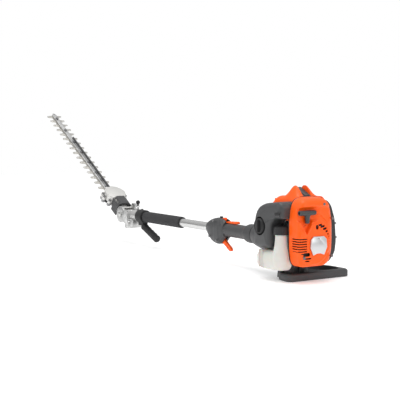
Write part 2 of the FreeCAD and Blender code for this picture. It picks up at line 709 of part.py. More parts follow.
def shaft():
    z = d.axis_height
    node("shaft_tube", tube(d.tube_d / 2, d.tube_d / 2 - d.tube_wall, d.tube_rear - d.tube_front,
                            (d.tube_front, 0, z)))
    bell = new_body()
    reach = -d.neck_rear
    near = d.case_half + 2
    outer = [(near, 39.5), (76, 39.5), (104, 38), (132, 34), (reach, 29.5)]
    inner = [(reach - 0.1, 14), (reach - 24, 14), (120, 22), (104, 33.5), (76, 36.4), (near, 36.4)]
    turned(bell, *[(radius, length) for length, radius in outer + [(reach, 14)] + inner[1:]])
    put(bell, (0, 0, z), Rotation(Vector(0, 1, 0), -90))
    bore = rod(d.tube_d / 2, 60, (-reach - 2, 0, z))
    node("clutch_housing", cut(fuse(bell, tube(20, d.tube_d / 2, 34, (-reach, 0, z))), bore))
    node("damper_ring", tube(27, d.tube_d / 2, 7, (d.neck_rear - 7.2, 0, z)))
    neck_bore = rod(d.tube_d / 2, 90, (d.grip_rear - 10, 0, z))
    collar = rod(26, d.neck_rear - d.grip_rear - 29.6, (d.grip_rear + 22, 0, z))
    neck = cut(fuse(cone(d.grip_d / 2, 26, 22, (d.grip_rear, 0, z)), collar), neck_bore)
    length = d.grip_rear - d.grip_front - 0.4
    ribs = [tube(d.grip_d / 2, d.grip_d / 2 - 2, 4, (d.grip_front + 4 + 8 * index, 0, z))
            for index in range(8)]
    sleeve = cut(fuse(rod(d.grip_d / 2 - 1, length, (d.grip_front + 0.2, 0, z)), *ribs),
                 rod(d.tube_d / 2, 120, (d.grip_front - 10, 0, z)))
    node("rear_grip", group(sleeve, neck))
    foam = tube(d.foam_d / 2, d.tube_d / 2, d.foam_rear - d.foam_front, (d.foam_front, 0, z))
    node("foam_grip", foam)
    ring_x = d.foam_front - 4 - d.ring_length
    lug = block((30, 18, 16), (ring_x + 3, -9, z - d.ring_d / 2 - 8))
    clamp = cut(fuse(rod(d.ring_d / 2, d.ring_length, (ring_x, 0, z)), lug),
                rod(d.tube_d / 2, 80, (ring_x - 10, 0, z)), rod(2.05, 20, (ring_x + 12, 0, z + 14), "z"),
                rod(4.05, 6, (ring_x + 12, 0, z + d.ring_d / 2 - 0.6), "z"))
    node("handle_ring", clamp)
    slant = Rotation(Vector(0, 1, 0), 90 + d.handle_slant.value)
    start = (ring_x + 22, 0, z - d.ring_d / 2 - 9)
    grip = bind(doc.addObject("Part::Cylinder", "grip"), Radius=d.handle_d / 2, Height=d.handle_length)
    put(grip, start, slant)
    flare = bind(doc.addObject("Part::Cylinder", "flare"), Radius=d.handle_d / 2 + 2, Height=8)
    put(flare, start, slant)
    keep_off = block((60, 60, 40), (ring_x - 4, -30, z - d.ring_d / 2 - 8))
    node("side_handle", cut(fuse(grip, flare), keep_off))
    cap_screws.append(screw((ring_x + 12, 0, z + d.ring_d / 2 - 0.6), shank=6))


def throttle_handle():
    z = d.axis_height
    front, rear = d.shell_front, d.grip_front
    side = [(front, z - 16), (front + 28, z - 33), (front + 52, z - 44), (front + 76, z - 43),
            (rear - 5, z - 24), (rear, z - 18), (rear, z + 20), (rear - 4, z + 29), (rear - 28, z + 29),
            (front + 62, z + 32), (front + 42, z + 32), (front, z + 16)]
    for name, low, high in (("handle_shell_right", 0, d.shell_half), ("handle_shell_left", -d.shell_half, 0)):
        body = new_body()
        pad = slab(body, "XZ", low, high, side)
        outer_y = d.shell_half.value if name.endswith("right") else -d.shell_half.value
        soften(body, pad, 8, lies_at("y", outer_y), "Chamfer")
        bore = rod(d.tube_d / 2, 140, (front - 10, 0, z))
        slot = block((44, 9, 34), (rear - 36, -4.5, z - 50))
        shelf = block((42, 12, 16), (rear - 40, -6, z + 18))
        pivot = rod(2.0, 26, (rear - 24, -13, z - 27), "y")
        node(name, cut(body, bore, slot, shelf, pivot))
    places = [(front + 30, z - 22), (front + 66, z - 32), (front + 50, z + 24)]
    face_screws.extend(rod(3.6, 2.0, (x, -d.shell_half - 2.2, height), "y") for x, height in places)
    trigger = new_body()
    x, low = rear - 24, z - 27
    slab(trigger, "XZ", -4, 4, [(x - 5, low + 3), (x - 5, low - 6), (x + 6, low - 12), (x + 34, low - 30),
                                (x + 44, low - 32), (x + 46, low - 28), (x + 20, low - 10), (x + 8, low + 3)])
    node("throttle_trigger", cut(trigger, rod(2.0 + d.fit, 20, (x, -10, low), "y")))
    lever_pins.append(rod(2.0, 25.6, (x, -12.8, low), "y"))
    lock = new_body()
    slab(lock, "XZ", -5, 5,
         [(rear + 1, z + 19.6), (rear + 40, z + 19.6), (rear + 54, z + 21.5), (rear + 40, z + 24),
          (rear + 4, z + 27), (rear - 3, z + 25.6), (rear - 3, z + 21)])
    node("throttle_lockout", lock)
    slider = block((15, 9, 6), (rear - 25, -4.5, z + 25))
    node("stop_switch", fuse(slider, block((5, 9, 3), (rear - 16, -4.5, z + 30.5))))
    stem = rod(2.6, 11, (rear - 32.4, 0, z + 21), "z")
    node("fast_idle_button", fuse(rod(4.6, 4, (rear - 32.6, 0, z + 31.8), "z"), stem))


# ---- cutter head: the side on the shaft ----

def head_base():
    z, x = d.axis_height, d.pivot_x
    inner = d.drum_half + d.gap
    cheeks = [rod(d.cheek_r, d.cheek_t, (x, y, z), "y") for y in (inner, -inner - d.cheek_t)]
    arms = [block((36, d.cheek_t, 40), (x, y, z - 25)) for y in (inner, -inner - d.cheek_t)]
    seat_x = x + d.drum_r + d.gap
    bridge = block((24, 2 * (inner + d.cheek_t), 44), (seat_x, -inner - d.cheek_t, z - 27))
    belly = new_body()
    slab(belly, "XZ", -19, 19, [(x + 30, z - 12), (x + 22, z - 27), (x + 16, z - 40), (x + 26, z - 46),
                                (x + 62, z - 42), (x + 74, z - 30), (x + 74, z - 12)])
    sleeve = rod(d.clamp_d / 2, d.clamp_length, (x + 36, 0, z))
    boss = rod(9, 8, (x + 46, -25, z - 27), "y")
    clear = rod(d.drum_r + d.gap, 2 * inner, (x, -inner, z), "y")
    tube_bore = rod(d.tube_d / 2, 80, (d.tube_front, 0, z))
    nose_bore = rod(8.4, 60, (x + 12, 0, z))
    pin_hole = rod(d.pin_d / 2, 80, (x, -40, z), "y")
    ears = [block((8, 3, 22), (x + 27, LEVER_Y + y, z + d.cheek_r - 14)) for y in (5.4, -8.4)]
    solid = fuse(bridge, belly, sleeve, boss, *cheeks, *arms, *ears)
    lever_hole = rod(2.5, 20, (x + 31, LEVER_Y - 10, z + d.cheek_r + 3.4), "y")
    disc_clear = rod(d.cheek_r, 3.4, (x, d.drum_half - 3, z), "y")
    screw_holes = [rod(2.05, 12, (x + place, 0, z + d.clamp_d / 2 - 10), "z") for place in (46, 76)]
    screw_seats = [rod(4.05, 6, (x + place, 0, z + d.clamp_d / 2 - 0.6), "z") for place in (46, 76)]
    holes = [disc_clear, *screw_holes, *screw_seats, clear, tube_bore, nose_bore, pin_hole, lever_hole]
    node("head_base", cut(solid, *holes))
    shaft_rings.append(tube(8.4, 6.2 + d.fit, 8, (x + 26, 0, z)))
    span = inner + d.cheek_t
    ends = [rod(8, 3.4, (x, y, z), "y") for y in (span + 0.1, -span - 3.5)]
    node("pivot_pin", fuse(rod(d.pin_d / 2, 2 * span, (x, -span, z), "y"), *ends))
    cap_screws.extend(screw((place, 0, z + d.clamp_d / 2 - 0.6), shank=4) for place in (x + 46, x + 76))


def tilt_lock():
    """The spring lever that locks the tilt: its tooth stands clear of the notched disc's rim."""
    z, x = d.axis_height, d.pivot_x
    lever = new_body()
    high = z + d.cheek_r
    slab(lever, "XZ", LEVER_Y - 5, LEVER_Y + 5,
         [(x + 3, high + 0.6), (x + 8, high + 0.6), (x + 12, high + 4), (x + 28, high + 2),
          (x + 46, high - 2), (x + 46, high + 2), (x + 28, high + 7), (x + 8, high + 9)])
    node("tilt_lever", cut(lever, rod(2.5 + d.fit, 20, (x + 31, LEVER_Y - 10, high + 3.4), "y")))
    lever_pins.append(rod(2.5, 16.6, (x + 31, LEVER_Y - 8.3, high + 3.4), "y"))
    stalk = rod(3, 8, (x + 42, LEVER_Y, high + 4.2), "z")
    node("lever_knob", fuse(ball(7, (x + 42, LEVER_Y, high + 14)), stalk))


# ---- cutter head: the side that tilts, built level with its pivot at the origin ----

def head_case():
    half = d.drum_half
    hollow = rod(d.drum_r - 4, 2 * half - 6, (0, 3 - half, 0), "y")
    drum = cut(rod(d.drum_r, 2 * half, (0, -half, 0), "y"), hollow,
               block((60, 2 * half - 6, 60), (-2, 3 - half, -30)))
    reach = d.crank_reach
    neck = rod(15, reach - d.drum_r - 16.2, (-reach + 22, 0, 0))
    neck_bore = rod(9.6, reach, (-reach + 10, 0, 0))
    round_case = rod(d.case_out, 25.5, (-reach, 0, d.blade_top + 1), "z")
    nose = new_body()
    slab(nose, "XY", d.blade_top + 1, 9.5,
         [(-reach, -30), (-reach, 30), (-reach - 34, 20), (-reach - 46, 16), (-reach - 46, -16),
          (-reach - 34, -20)])
    ridge = new_body()
    slab(ridge, "XZ", -5, 5,
         [(-reach - 40, 8), (-reach + 22, 16), (-reach + 40, 14.5), (-reach + 50, 12), (-reach + 50, 8)])
    flange_at = [(-reach + along, side * out) for side in (1, -1) for along, out in FLANGE_BOLTS]
    lugs = [rod(6.5, 9, (across, along, d.blade_top + 1), "z") for across, along in flange_at]
    chamber = rod(d.crank_gear_r + 4, 21.5, (-reach, 0, d.blade_top), "z")
    slot = block((46, 2 * d.bar_half + 0.4, d.bar_t + 1.2), (-reach - 47, -d.bar_half - 0.2, d.blade_top))
    pin_hole = rod(d.pin_d / 2 + d.fit, 80, (0, -40, 0), "y")
    pieces = fuse(drum, index_disc(), neck, round_case, nose, ridge, *lugs)
    holes = [rod(2.4, 30, (across, along, -12), "z") for across, along in flange_at]
    crank_post = rod(7.5, 8.6, (-reach, 0, 8.8), "z")
    under = block((50, 60, 20), (-reach - 8, -30, d.blade_top - 19.8))
    shell = cut(pieces, neck_bore, chamber, slot, pin_hole, under, *holes)
    bearings = [tube(9.9, 4 + d.fit, 7, (x, 0, 0)) for x in (-32, -66)]
    head_node("head_case", fuse(shell, crank_post, *bearings))
    head_bolts.extend(screw((across, along, d.blade_top + 10), "z", 4.4, 3.6, 2.3, 20)
                      for across, along in flange_at)
    low = d.blade_top - 2 * d.blade_t - 1
    plate = fuse(rod(d.case_out, 3, (-reach, 0, low - 3.4), "z"),
                 *[rod(6.5, 3, (across, along, low - 3.4), "z") for across, along in flange_at])
    walls = [rod(6.5, d.blade_top + 0.6 - low, (across, along, low - 0.5), "z")
             for across, along in flange_at]
    head_node("case_bottom", cut(fuse(plate, *walls), *[rod(2.4, 40, (across, along, -30), "z")
                                                        for across, along in flange_at]))
    shroud = cut(block((46, 54, 50), (-74, -27, -24)), block((48, 44, 60), (-75, -22, -40)),
                 block((8, 60, 20), (-75, -30, -26)))
    corner = block((60, 20, 20), (-80, 27, 13), Rotation(Vector(1, 0, 0), 45))
    other = block((60, 20, 20), (-80, -27, 13), Rotation(Vector(1, 0, 0), 45))
    web = cut(block((8, 44, 20), (-40, -22, 7)), rod(15, 60, (-60, 0, 0)))
    head_node("head_shroud", cut(fuse(shroud, web), corner, other))


def index_disc():
    """The notched end of the tilting drum that the lock lever faces."""
    disc = new_body()
    bore, rim, thick = d.pin_d / 2 + d.fit, d.cheek_r - 0.4, 2.4
    turned(disc, (bore, 0), (rim, 0), (rim, thick), (bore, thick))
    deep, past = d.cheek_r - 2.2, d.cheek_r + 1
    notch = carve(disc, "XY", -1, 4, [(deep, -1.5), (past, -2), (past, 2), (deep, 1.5)])
    repeat_round(disc, notch, 24)
    put(disc, (0, d.drum_half - 2.6, 0), TURN["y"])
    return disc


def head_gears():
    reach = d.crank_reach
    idler = gear(20, d.idler_r, 9.6, 4.0, d.pin_d / 2 + d.fit, 1.8)
    put(idler, (0, 15.0, 0), Rotation(Vector(1, 0, 0), 90))
    head_node("idler_gear", group(idler))
    pinion = gear(12, d.bevel_r, 5.8, 6.4, 0, 1.8)
    put(pinion, (-14.8, 0, 0), Rotation(Vector(0, 1, 0), 90))
    last = gear(11, d.crank_pinion_r, 5.2, 6, 0, 1.6)
    put(last, (-reach + 29.5, 0, 0), Rotation(Vector(0, 1, 0), -90))
    spindle = rod(4, reach - 29.5 - 14.8 + 2, (-reach + 28.5, 0, 0))
    head_node("head_spindle", fuse(pinion, spindle, last))
    wheel = gear(44, d.crank_gear_r, 22.5, 3.4, 7.5 + d.fit, 1.6)
    put(wheel, (-reach, 0, 12), Rotation(Vector(1, 0, 0), 180))
    top = d.blade_top
    hub = tube(17, 7.5 + d.fit, 4.4, (-reach, 0, 8.2), "z")
    web = rod(17, 4, (-reach, 0, 4.6), "z")
    post = rod(6, 14.4 + 2 * d.blade_t, (-reach, 0, top - 2 * d.blade_t - 0.4), "z")
    pitch = d.blade_t + 0.2
    discs = [rod(d.eccentric_r, d.blade_t - 0.3, (-reach - side * d.throw, 0, top - pitch * level + 0.3), "z")
             for side, level in ((1, 1), (-1, 2))]
    head_node("crank_gear", fuse(wheel, hub, web, post, *discs))


def blade(label, top):
    """One reciprocating blade: a bar with two rows of teeth, bolt slots, and a window for its eccentric."""
    reach = d.crank_reach
    length = d.first_tooth + d.tooth_pitch * (d.tooth_count - 1) + 12
    body = new_body()
    back = d.blade_back
    half_outline = [(-length, 3), (-length + 8, back), (-reach - 40, back), (-reach - 32, 23),
                    (-reach + 30, 23)]
    outline = [(x, -y) for x, y in half_outline] + half_outline[::-1]
    slab(body, "XY", top - d.blade_t, top, outline)
    teeth = [[(-d.first_tooth - 7, side * (back - 1)), (-d.first_tooth - 3, side * d.tooth_reach),
              (-d.first_tooth + 3, side * d.tooth_reach), (-d.first_tooth + 7, side * (back - 1))][::side]
             for side in (1, -1)]
    pair = slab(body, "XY", top - d.blade_t, top, *teeth)
    body.Tip = pair
    span = d.tooth_pitch * (d.tooth_count - 1)
    row = repeat_along(body, pair, "H_Axis", span, d.tooth_count)
    row.Reversed = True
    half = d.bolt_d / 2 + 0.4
    slots = [[(x - d.throw - half, -half), (x + d.throw + half, -half), (x + d.throw + half, half),
              (x - d.throw - half, half)] for x in bolt_places()]
    wide = 2 * d.throw + d.eccentric_r + 1
    high = d.throw + d.eccentric_r + 1
    carve(body, "XY", top - d.blade_t - 1, top + 1, *slots)
    carve(body, "XY", top - d.blade_t - 1, top + 1, [(-reach - wide, -high), (-reach + wide, -high),
                                                     (-reach + wide, high), (-reach - wide, high)])
    head_node(label, body)


def bolt_places():
    """The blade bolts, closer together near the case: positions along the head's X axis."""
    far = d.first_tooth + d.tooth_pitch * (d.tooth_count - 1) - 24
    steps = (0, 91, 179, 254, 325, 395, 443, 490)
    return [-far + step for step in steps]


def cutter():
    reach = d.crank_reach
    top = d.blade_top
    blade("upper_blade", top)
    blade("lower_blade", top - d.blade_t - 0.2)
    length = d.first_tooth + d.tooth_pitch * (d.tooth_count - 1) + 16
    bar = new_body()
    slab(bar, "XY", top + 0.2, top + 0.2 + d.bar_t, [(-length, -3), (-length + 9, -d.bar_half),
                                                     (-reach - 36, -d.bar_half), (-reach - 36, d.bar_half),
                                                     (-length + 9, d.bar_half), (-length, 3)])
    slab(bar, "XY", top + 0.2 + d.bar_t - 0.5, top + d.bar_t + 7, [(-length + 190, 5.6), (-reach - 48, 5.6),
                                                                   (-reach - 48, 8), (-length + 190, 8)])
    holes = [rod(d.bolt_d / 2, 30, (x, 0, -20), "z") for x in bolt_places()]
    hang = rod(2.2, 30, (-length + 8, 0, -20), "z")
    head_node("support_bar", cut(bar, *holes, hang))
    low = top - 2 * d.blade_t - 0.4
    bolts = [fuse(rod(5.4, 3.2, (x, 0, top + 0.2 + d.bar_t), "z"),
                  rod(d.bolt_d / 2, d.bar_t + 2 * d.blade_t + 1.2, (x, 0, low - 0.4), "z"),
                  rod(5.4, 2.6, (x, 0, low - 3.0), "z")) for x in bolt_places()]
    head_bolts.extend(bolts)


def write_parts():
    doc.recompute()
    for thing in doc.Objects:
        if "Invalid" in thing.State or "Error" in thing.State:
            raise RuntimeError(f"{thing.Name} ({thing.Label}) did not compute: {thing.State}")
    for thing in parts:
        if thing.Shape.isNull() or not thing.Shape.isValid():
            raise RuntimeError(f"{thing.Label} has no valid shape")
    os.makedirs("parts", exist_ok=True)
    for thing in parts:
        thing.Shape.exportStep(f"parts/{thing.Label}.step")
        print(f"{thing.Label:22} {len(thing.Shape.Solids):3} solids {thing.Shape.Volume / 1000:9.2f} cm3")
    print(len(parts), "nodes")


for build in (crankcase, cylinder, crank, piston, exhaust, starter_cover, hood, air_filter, fuel, stand,
              recoil, driveline, shaft, throttle_handle, head_base, tilt_lock, head_case, head_gears, cutter):
    build()
    print("built", build.__name__)
node("shaft_bearings", group(*shaft_rings))
node("cap_screws", group(*cap_screws))
node("face_screws", group(*face_screws))
node("lever_pins", group(*lever_pins))
head_node("head_bolts", group(*head_bolts))
write_parts()
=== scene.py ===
import json
import math

import bmesh
import bpy
from mathutils import Matrix, Vector


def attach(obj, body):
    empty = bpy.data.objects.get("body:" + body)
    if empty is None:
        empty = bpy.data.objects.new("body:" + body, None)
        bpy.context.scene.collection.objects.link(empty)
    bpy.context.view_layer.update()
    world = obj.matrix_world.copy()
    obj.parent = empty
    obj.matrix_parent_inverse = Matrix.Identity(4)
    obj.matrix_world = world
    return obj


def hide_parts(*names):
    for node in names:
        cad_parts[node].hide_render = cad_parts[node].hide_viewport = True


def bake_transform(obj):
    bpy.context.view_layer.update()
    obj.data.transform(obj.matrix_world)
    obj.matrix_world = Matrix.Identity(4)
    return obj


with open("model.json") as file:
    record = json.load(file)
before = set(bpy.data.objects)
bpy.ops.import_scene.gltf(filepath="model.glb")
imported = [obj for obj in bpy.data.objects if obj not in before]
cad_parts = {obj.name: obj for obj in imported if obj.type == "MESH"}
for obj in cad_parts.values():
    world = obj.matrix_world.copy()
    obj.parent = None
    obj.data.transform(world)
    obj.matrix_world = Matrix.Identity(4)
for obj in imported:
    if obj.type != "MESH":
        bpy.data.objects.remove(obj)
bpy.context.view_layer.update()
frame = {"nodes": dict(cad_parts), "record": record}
mm = 0.001
record = frame["record"]
bodyOf = {node: body for body, members in record["behaviour"]["bodies"].items() for node in members}
slotOf = {part["node"]: part["material_slot"] for part in record["subparts"]}
crank = Vector((0, 0, 98))  # the crank and shaft axis, in millimetres like every size below
tubeRadius = 12.7
headPivot, headTilt = Vector((-905, 0, 98)), math.radians(30)
knobCentre = (-29, 0, 137)  # on the filter cover
neckAt = (35.8, -66)  # x and y of the tank neck and its cap


# shaping helpers

def smooth(low, high, value):
    t = min(max((value - low) / (high - low), 0), 1)
    return t * t * (3 - 2 * t)


def bump(low, high, soft, value):
    # 1 between low and high, fading to 0 over soft on each side
    return smooth(low - soft, low, value) * (1 - smooth(high, high + soft, value))


def meshFrom(name, points, faces):
    mesh = bpy.data.meshes.new(name)
    mesh.from_pydata([Vector(p) * mm for p in points], [], faces)
    mesh.validate()
    mesh.update()
    return mesh


def addObject(name, mesh):
    thing = bpy.data.objects.new(name, mesh)
    bpy.context.scene.collection.objects.link(thing)
    return thing


def shade(mesh, angle=32):
    mesh.shade_smooth()
    mesh.set_sharp_from_angle(angle=math.radians(angle))


def bake(thing):
    # keep the mesh that the modifiers make, and drop the modifiers
    bpy.context.view_layer.update()
    made = bpy.data.meshes.new_from_object(thing.evaluated_get(bpy.context.evaluated_depsgraph_get()))
    thing.modifiers.clear()
    old = thing.data
    thing.data = made
    bpy.data.meshes.remove(old)
    return thing


def facingOut(mesh):
    work = bmesh.new()
    work.from_mesh(mesh)
    bmesh.ops.recalc_face_normals(work, faces=work.faces)
    work.to_mesh(mesh)
    work.free()


def loft(name, rings, closedEnds=True):
    # rings of equal length, joined one to the next
    count = len(rings[0])
    points = [p for ring in rings for p in ring]
    faces = []
    for r in range(len(rings) - 1):
        for i in range(count):
            j = (i + 1) % count
            faces.append((r * count + i, r * count + j, (r + 1) * count + j, (r + 1) * count + i))
    if closedEnds:
        faces.append(tuple(reversed(range(count))))
        faces.append(tuple(range((len(rings) - 1) * count, len(rings) * count)))
    mesh = meshFrom(name, points, faces)
    facingOut(mesh)
    return mesh


axes = {"x": Matrix(((0, 0, 1), (1, 0, 0), (0, 1, 0))), "y": Matrix(((1, 0, 0), (0, 0, 1), (0, 1, 0))),
        "z": Matrix.Identity(3)}


def lathe(name, profile, at=(0, 0, 0), axis="x", count=64, shape=None):
    # profile is (along, radius); shape(angle, along) scales the radius
    rings = []
    for along, radius in profile:
        ring = []
        for i in range(count):
            a = 2 * math.pi * i / count
            r = max(radius, 0.02) * (shape(a, along) if shape else 1)
            ring.append(Vector(at) + axes[axis] @ Vector((r * math.cos(a), r * math.sin(a), along)))
        rings.append(ring)
    return loft(name, rings)


def pipe(name, profile, bore, at, axis="x", count=64, shape=None):
    # a lathed piece with a straight hole along its axis
    low, high = profile[0][0], profile[-1][0]
    rings = []
    for along, radius in [(low, bore)] + profile + [(high, bore)]:
        ring = []
        for i in range(count):
            a = 2 * math.pi * i / count
            r = radius * (shape(a, along) if shape and radius > bore else 1)
            ring.append(Vector(at) + axes[axis] @ Vector((r * math.cos(a), r * math.sin(a), along)))
        rings.append(ring)
    rings.append(rings[0])
    mesh = loft(name, rings, closedEnds=False)
    work = bmesh.new()
    work.from_mesh(mesh)
    bmesh.ops.remove_doubles(work, verts=work.verts, dist=1e-6)
    work.to_mesh(mesh)
    work.free()
    facingOut(mesh)
    return mesh


def rounded(outline, radius, steps=6):
    # a 2-D loop with each corner rounded as far as its sides allow
    loop = []
    for i, corner in enumerate(outline):
        here = Vector(corner)
        back, on = Vector(outline[i - 1]) - here, Vector(outline[(i + 1) % len(outline)]) - here
        reach = radius[i] if isinstance(radius, (list, tuple)) else radius
        cutAt = min(reach, back.length * 0.48, on.length * 0.48)
        a, b = here + back.normalized() * cutAt, here + on.normalized() * cutAt
        for k in range(steps + 1):
            t = k / steps
            loop.append(a * (1 - t) ** 2 + here * 2 * t * (1 - t) + b * t * t)
    return loop


def spread(loop, count):
    # the same loop with evenly spaced points
    lengths = [(loop[(i + 1) % len(loop)] - loop[i]).length for i in range(len(loop))]
    total = sum(lengths)
    made, i, run = [], 0, 0.0
    for k in range(count):
        want = total * k / count
        while run + lengths[i] < want:
            run += lengths[i]
            i += 1
        made.append(loop[i].lerp(loop[(i + 1) % len(loop)], (want - run) / max(lengths[i], 1e-9)))
    return made


def inward(loop):
    # unit normals that point into an even loop
    area = sum(loop[i - 1].x * loop[i].y - loop[i].x * loop[i - 1].y for i in range(len(loop)))
    sign = 1 if area > 0 else -1
    normals = []
    for i in range(len(loop)):
        along = loop[(i + 2) % len(loop)] - loop[i - 2]
        normals.append(Vector((-along.y, along.x)).normalized() * sign)
    return normals


# an outline point and a height across it, as x, y, z
planes = {"XZ": lambda p, h: (p[0], h, p[1]), "YZ": lambda p, h: (h, p[0], p[1]),
          "XY": lambda p, h: (p[0], p[1], h)}


def crowned(name, outline, plane, low, high, edge, crown=0, count=120, foot=0, centre=None):
    # a solid on an outline whose far side (high) is rounded by edge and swells by crown towards its middle
    loop = spread([Vector(p) for p in outline], count)
    normals = inward(loop)
    mid = Vector(centre) if centre else sum(loop, Vector((0, 0))) / count
    way = 1 if high > low else -1
    lift = planes[plane]
    rings = []
    if foot:
        rings.append([lift(p + n * foot, low) for p, n in zip(loop, normals)])
        rings.append([lift(p + n * foot * 0.3, low + way * foot * 0.3) for p, n in zip(loop, normals)])
    rings.append([lift(p, low + way * foot) for p in loop])
    for k in range(7):
        turn = math.pi / 2 * k / 6
        inset, drop = edge * (1 - math.cos(turn)), edge * (1 - math.sin(turn))
        rings.append([lift(p + n * inset, high - way * (drop + crown)) for p, n in zip(loop, normals)])
    last = [p + n * edge for p, n in zip(loop, normals)]
    for k in range(1, 9):
        t = k / 8 * 0.985
        rings.append([lift(p.lerp(mid, t), high - way * crown * (1 - t) ** 2) for p in last])
    return loft(name, rings)


def block(low, high):
    (a, b, c), (d, e, f) = low, high
    points = [(x, y, z) for x in (a, d) for y in (b, e) for z in (c, f)]
    return points, [(0, 1, 3, 2), (4, 6, 7, 5), (0, 4, 5, 1), (2, 3, 7, 6), (0, 2, 6, 4), (1, 5, 7, 3)]


def joined(name, shapes):
    # one mesh from several (points, faces)
    points, faces = [], []
    for more, loops in shapes:
        start = len(points)
        points += [tuple(p) for p in more]
        faces += [tuple(start + i for i in f) for f in loops]
    mesh = meshFrom(name, points, faces)
    facingOut(mesh)
    return mesh


def prism(outline, plane, low, high):
    lift = planes[plane]
    count = len(outline)
    points = [lift(p, low) for p in outline] + [lift(p, high) for p in outline]
    sides = [(i, (i + 1) % count, count + (i + 1) % count, count + i) for i in range(count)]
    return points, [tuple(range(count)), tuple(range(count, 2 * count))] + sides


def boolean(thing, mesh, operation="DIFFERENCE", tangled=False):
    tool = addObject(thing.name + ".tool", mesh)
    cut = thing.modifiers.new("cut", "BOOLEAN")
    cut.object, cut.operation, cut.solver = tool, operation, "EXACT"
    cut.use_self = tangled  # needed where a mesh crosses itself
    bake(thing)
    bpy.data.objects.remove(tool)
    return thing


def softBevel(thing, width, segments=2, angle=35):
    bevel = thing.modifiers.new("bevel", "BEVEL")
    bevel.width, bevel.segments, bevel.limit_method = width * mm, segments, "ANGLE"
    bevel.angle_limit = math.radians(angle)
    bevel.harden_normals = False
    return bake(thing)


def blended(name, meshes, voxel, passes):
    # melt several closed shapes into one, with soft joins
    first = addObject(name, meshes[0])
    work = bmesh.new()
    for mesh in meshes:
        work.from_mesh(mesh)
    work.to_mesh(first.data)
    work.free()
    melt = first.modifiers.new("melt", "REMESH")
    melt.mode, melt.voxel_size = "VOXEL", voxel * mm
    ease = first.modifiers.new("ease", "SMOOTH")
    ease.iterations, ease.factor = passes, 0.5
    return bake(first)


# shared shader effects

def newGroup(name, inputs, outputs):
    group = bpy.data.node_groups.new(name, "ShaderNodeTree")
    for label, kind, value in inputs:
        socket = group.interface.new_socket(label, in_out="INPUT", socket_type=kind)
        socket.default_value = value
    for label, kind in outputs:
        group.interface.new_socket(label, in_out="OUTPUT", socket_type=kind)
    return group, group.nodes.new("NodeGroupInput"), group.nodes.new("NodeGroupOutput")


def math2(tree, operation, a, b=None, clamp=False):
    node = tree.nodes.new("ShaderNodeMath")
    node.operation, node.use_clamp = operation, clamp
    for socket, value in zip(node.inputs, (a, b)):
        if value is None:
            continue
        if isinstance(value, (int, float)):
            socket.default_value = value
        else:
            tree.links.new(value, socket)
    return node.outputs[0]


def noise(tree, scale, detail=4.0, rough=0.55, vector=None):
    node = tree.nodes.new("ShaderNodeTexNoise")
    for label, value in (("Scale", scale), ("Detail", detail), ("Roughness", rough)):
        if isinstance(value, (int, float)):
            node.inputs[label].default_value = value
        else:
            tree.links.new(value, node.inputs[label])
    if vector is None:
        vector = tree.nodes.new("ShaderNodeTexCoord").outputs["Object"]
    tree.links.new(vector, node.inputs["Vector"])
    return node.outputs["Fac"]


def remap(tree, value, low, high, outLow=0.0, outHigh=1.0):
    node = tree.nodes.new("ShaderNodeMapRange")
    tree.links.new(value, node.inputs["Value"])
    for label, number in (("From Min", low), ("From Max", high), ("To Min", outLow), ("To Max", outHigh)):
        if isinstance(number, (int, float)):
            node.inputs[label].default_value = number
        else:
            tree.links.new(number, node.inputs[label])
    return node.outputs["Result"]


def makeMouldGrain():
    # fine spark-erosion grain of moulded plastic and the skin of a casting
    group, given, made = newGroup("mouldGrain", [
        ("Scale", "NodeSocketFloat", 1400.0), ("Depth", "NodeSocketFloat", 0.00004),
        ("Waviness", "NodeSocketFloat", 0.3)], [("Grain", "NodeSocketFloat"), ("Normal", "NodeSocketVector")])
    fine = noise(group, given.outputs["Scale"], 3.0, 0.6)
    broad = noise(group, math2(group, "MULTIPLY", given.outputs["Scale"], 0.045), 2.0, 0.5)
    height = math2(group, "ADD", fine, math2(group, "MULTIPLY", broad, given.outputs["Waviness"]))
    relief = group.nodes.new("ShaderNodeBump")
    relief.inputs["Strength"].default_value = 1.0
    group.links.new(given.outputs["Depth"], relief.inputs["Distance"])
    group.links.new(height, relief.inputs["Height"])
    group.links.new(fine, made.inputs["Grain"])
    group.links.new(relief.outputs["Normal"], made.inputs["Normal"])
    return group


def makeEdgeWear():
    # a mask on rubbed corners, broken up so that it isn't a line
    group, given, made = newGroup("edgeWear", [
        ("Start", "NodeSocketFloat", 0.53), ("End", "NodeSocketFloat", 0.60),
        ("Breakup", "NodeSocketFloat", 90.0)], [("Mask", "NodeSocketFloat")])
    pointed = group.nodes.new("ShaderNodeNewGeometry").outputs["Pointiness"]
    edge = remap(group, pointed, given.outputs["Start"], given.outputs["End"])
    patches = remap(group, noise(group, given.outputs["Breakup"], 5.0, 0.65), 0.42, 0.62)
    group.links.new(math2(group, "MULTIPLY", edge, patches, clamp=True), made.inputs["Mask"])
    return group


def makeMottle():
    # slow drift of tone and dull patches from handling and dust
    group, given, made = newGroup("mottle", [
        ("Color", "NodeSocketColor", (0.5, 0.5, 0.5, 1)), ("Amount", "NodeSocketFloat", 0.06),
        ("Scale", "NodeSocketFloat", 22.0)], [("Color", "NodeSocketColor"), ("Dull", "NodeSocketFloat")])
    cloud = noise(group, given.outputs["Scale"], 5.0, 0.6)
    swing = math2(group, "MULTIPLY", math2(group, "SUBTRACT", cloud, 0.5), given.outputs["Amount"])
    tone = group.nodes.new("ShaderNodeHueSaturation")
    group.links.new(given.outputs["Color"], tone.inputs["Color"])
    group.links.new(math2(group, "ADD", math2(group, "MULTIPLY", swing, 2.0), 1.0), tone.inputs["Value"])
    group.links.new(tone.outputs["Color"], made.inputs["Color"])
    group.links.new(cloud, made.inputs["Dull"])
    return group


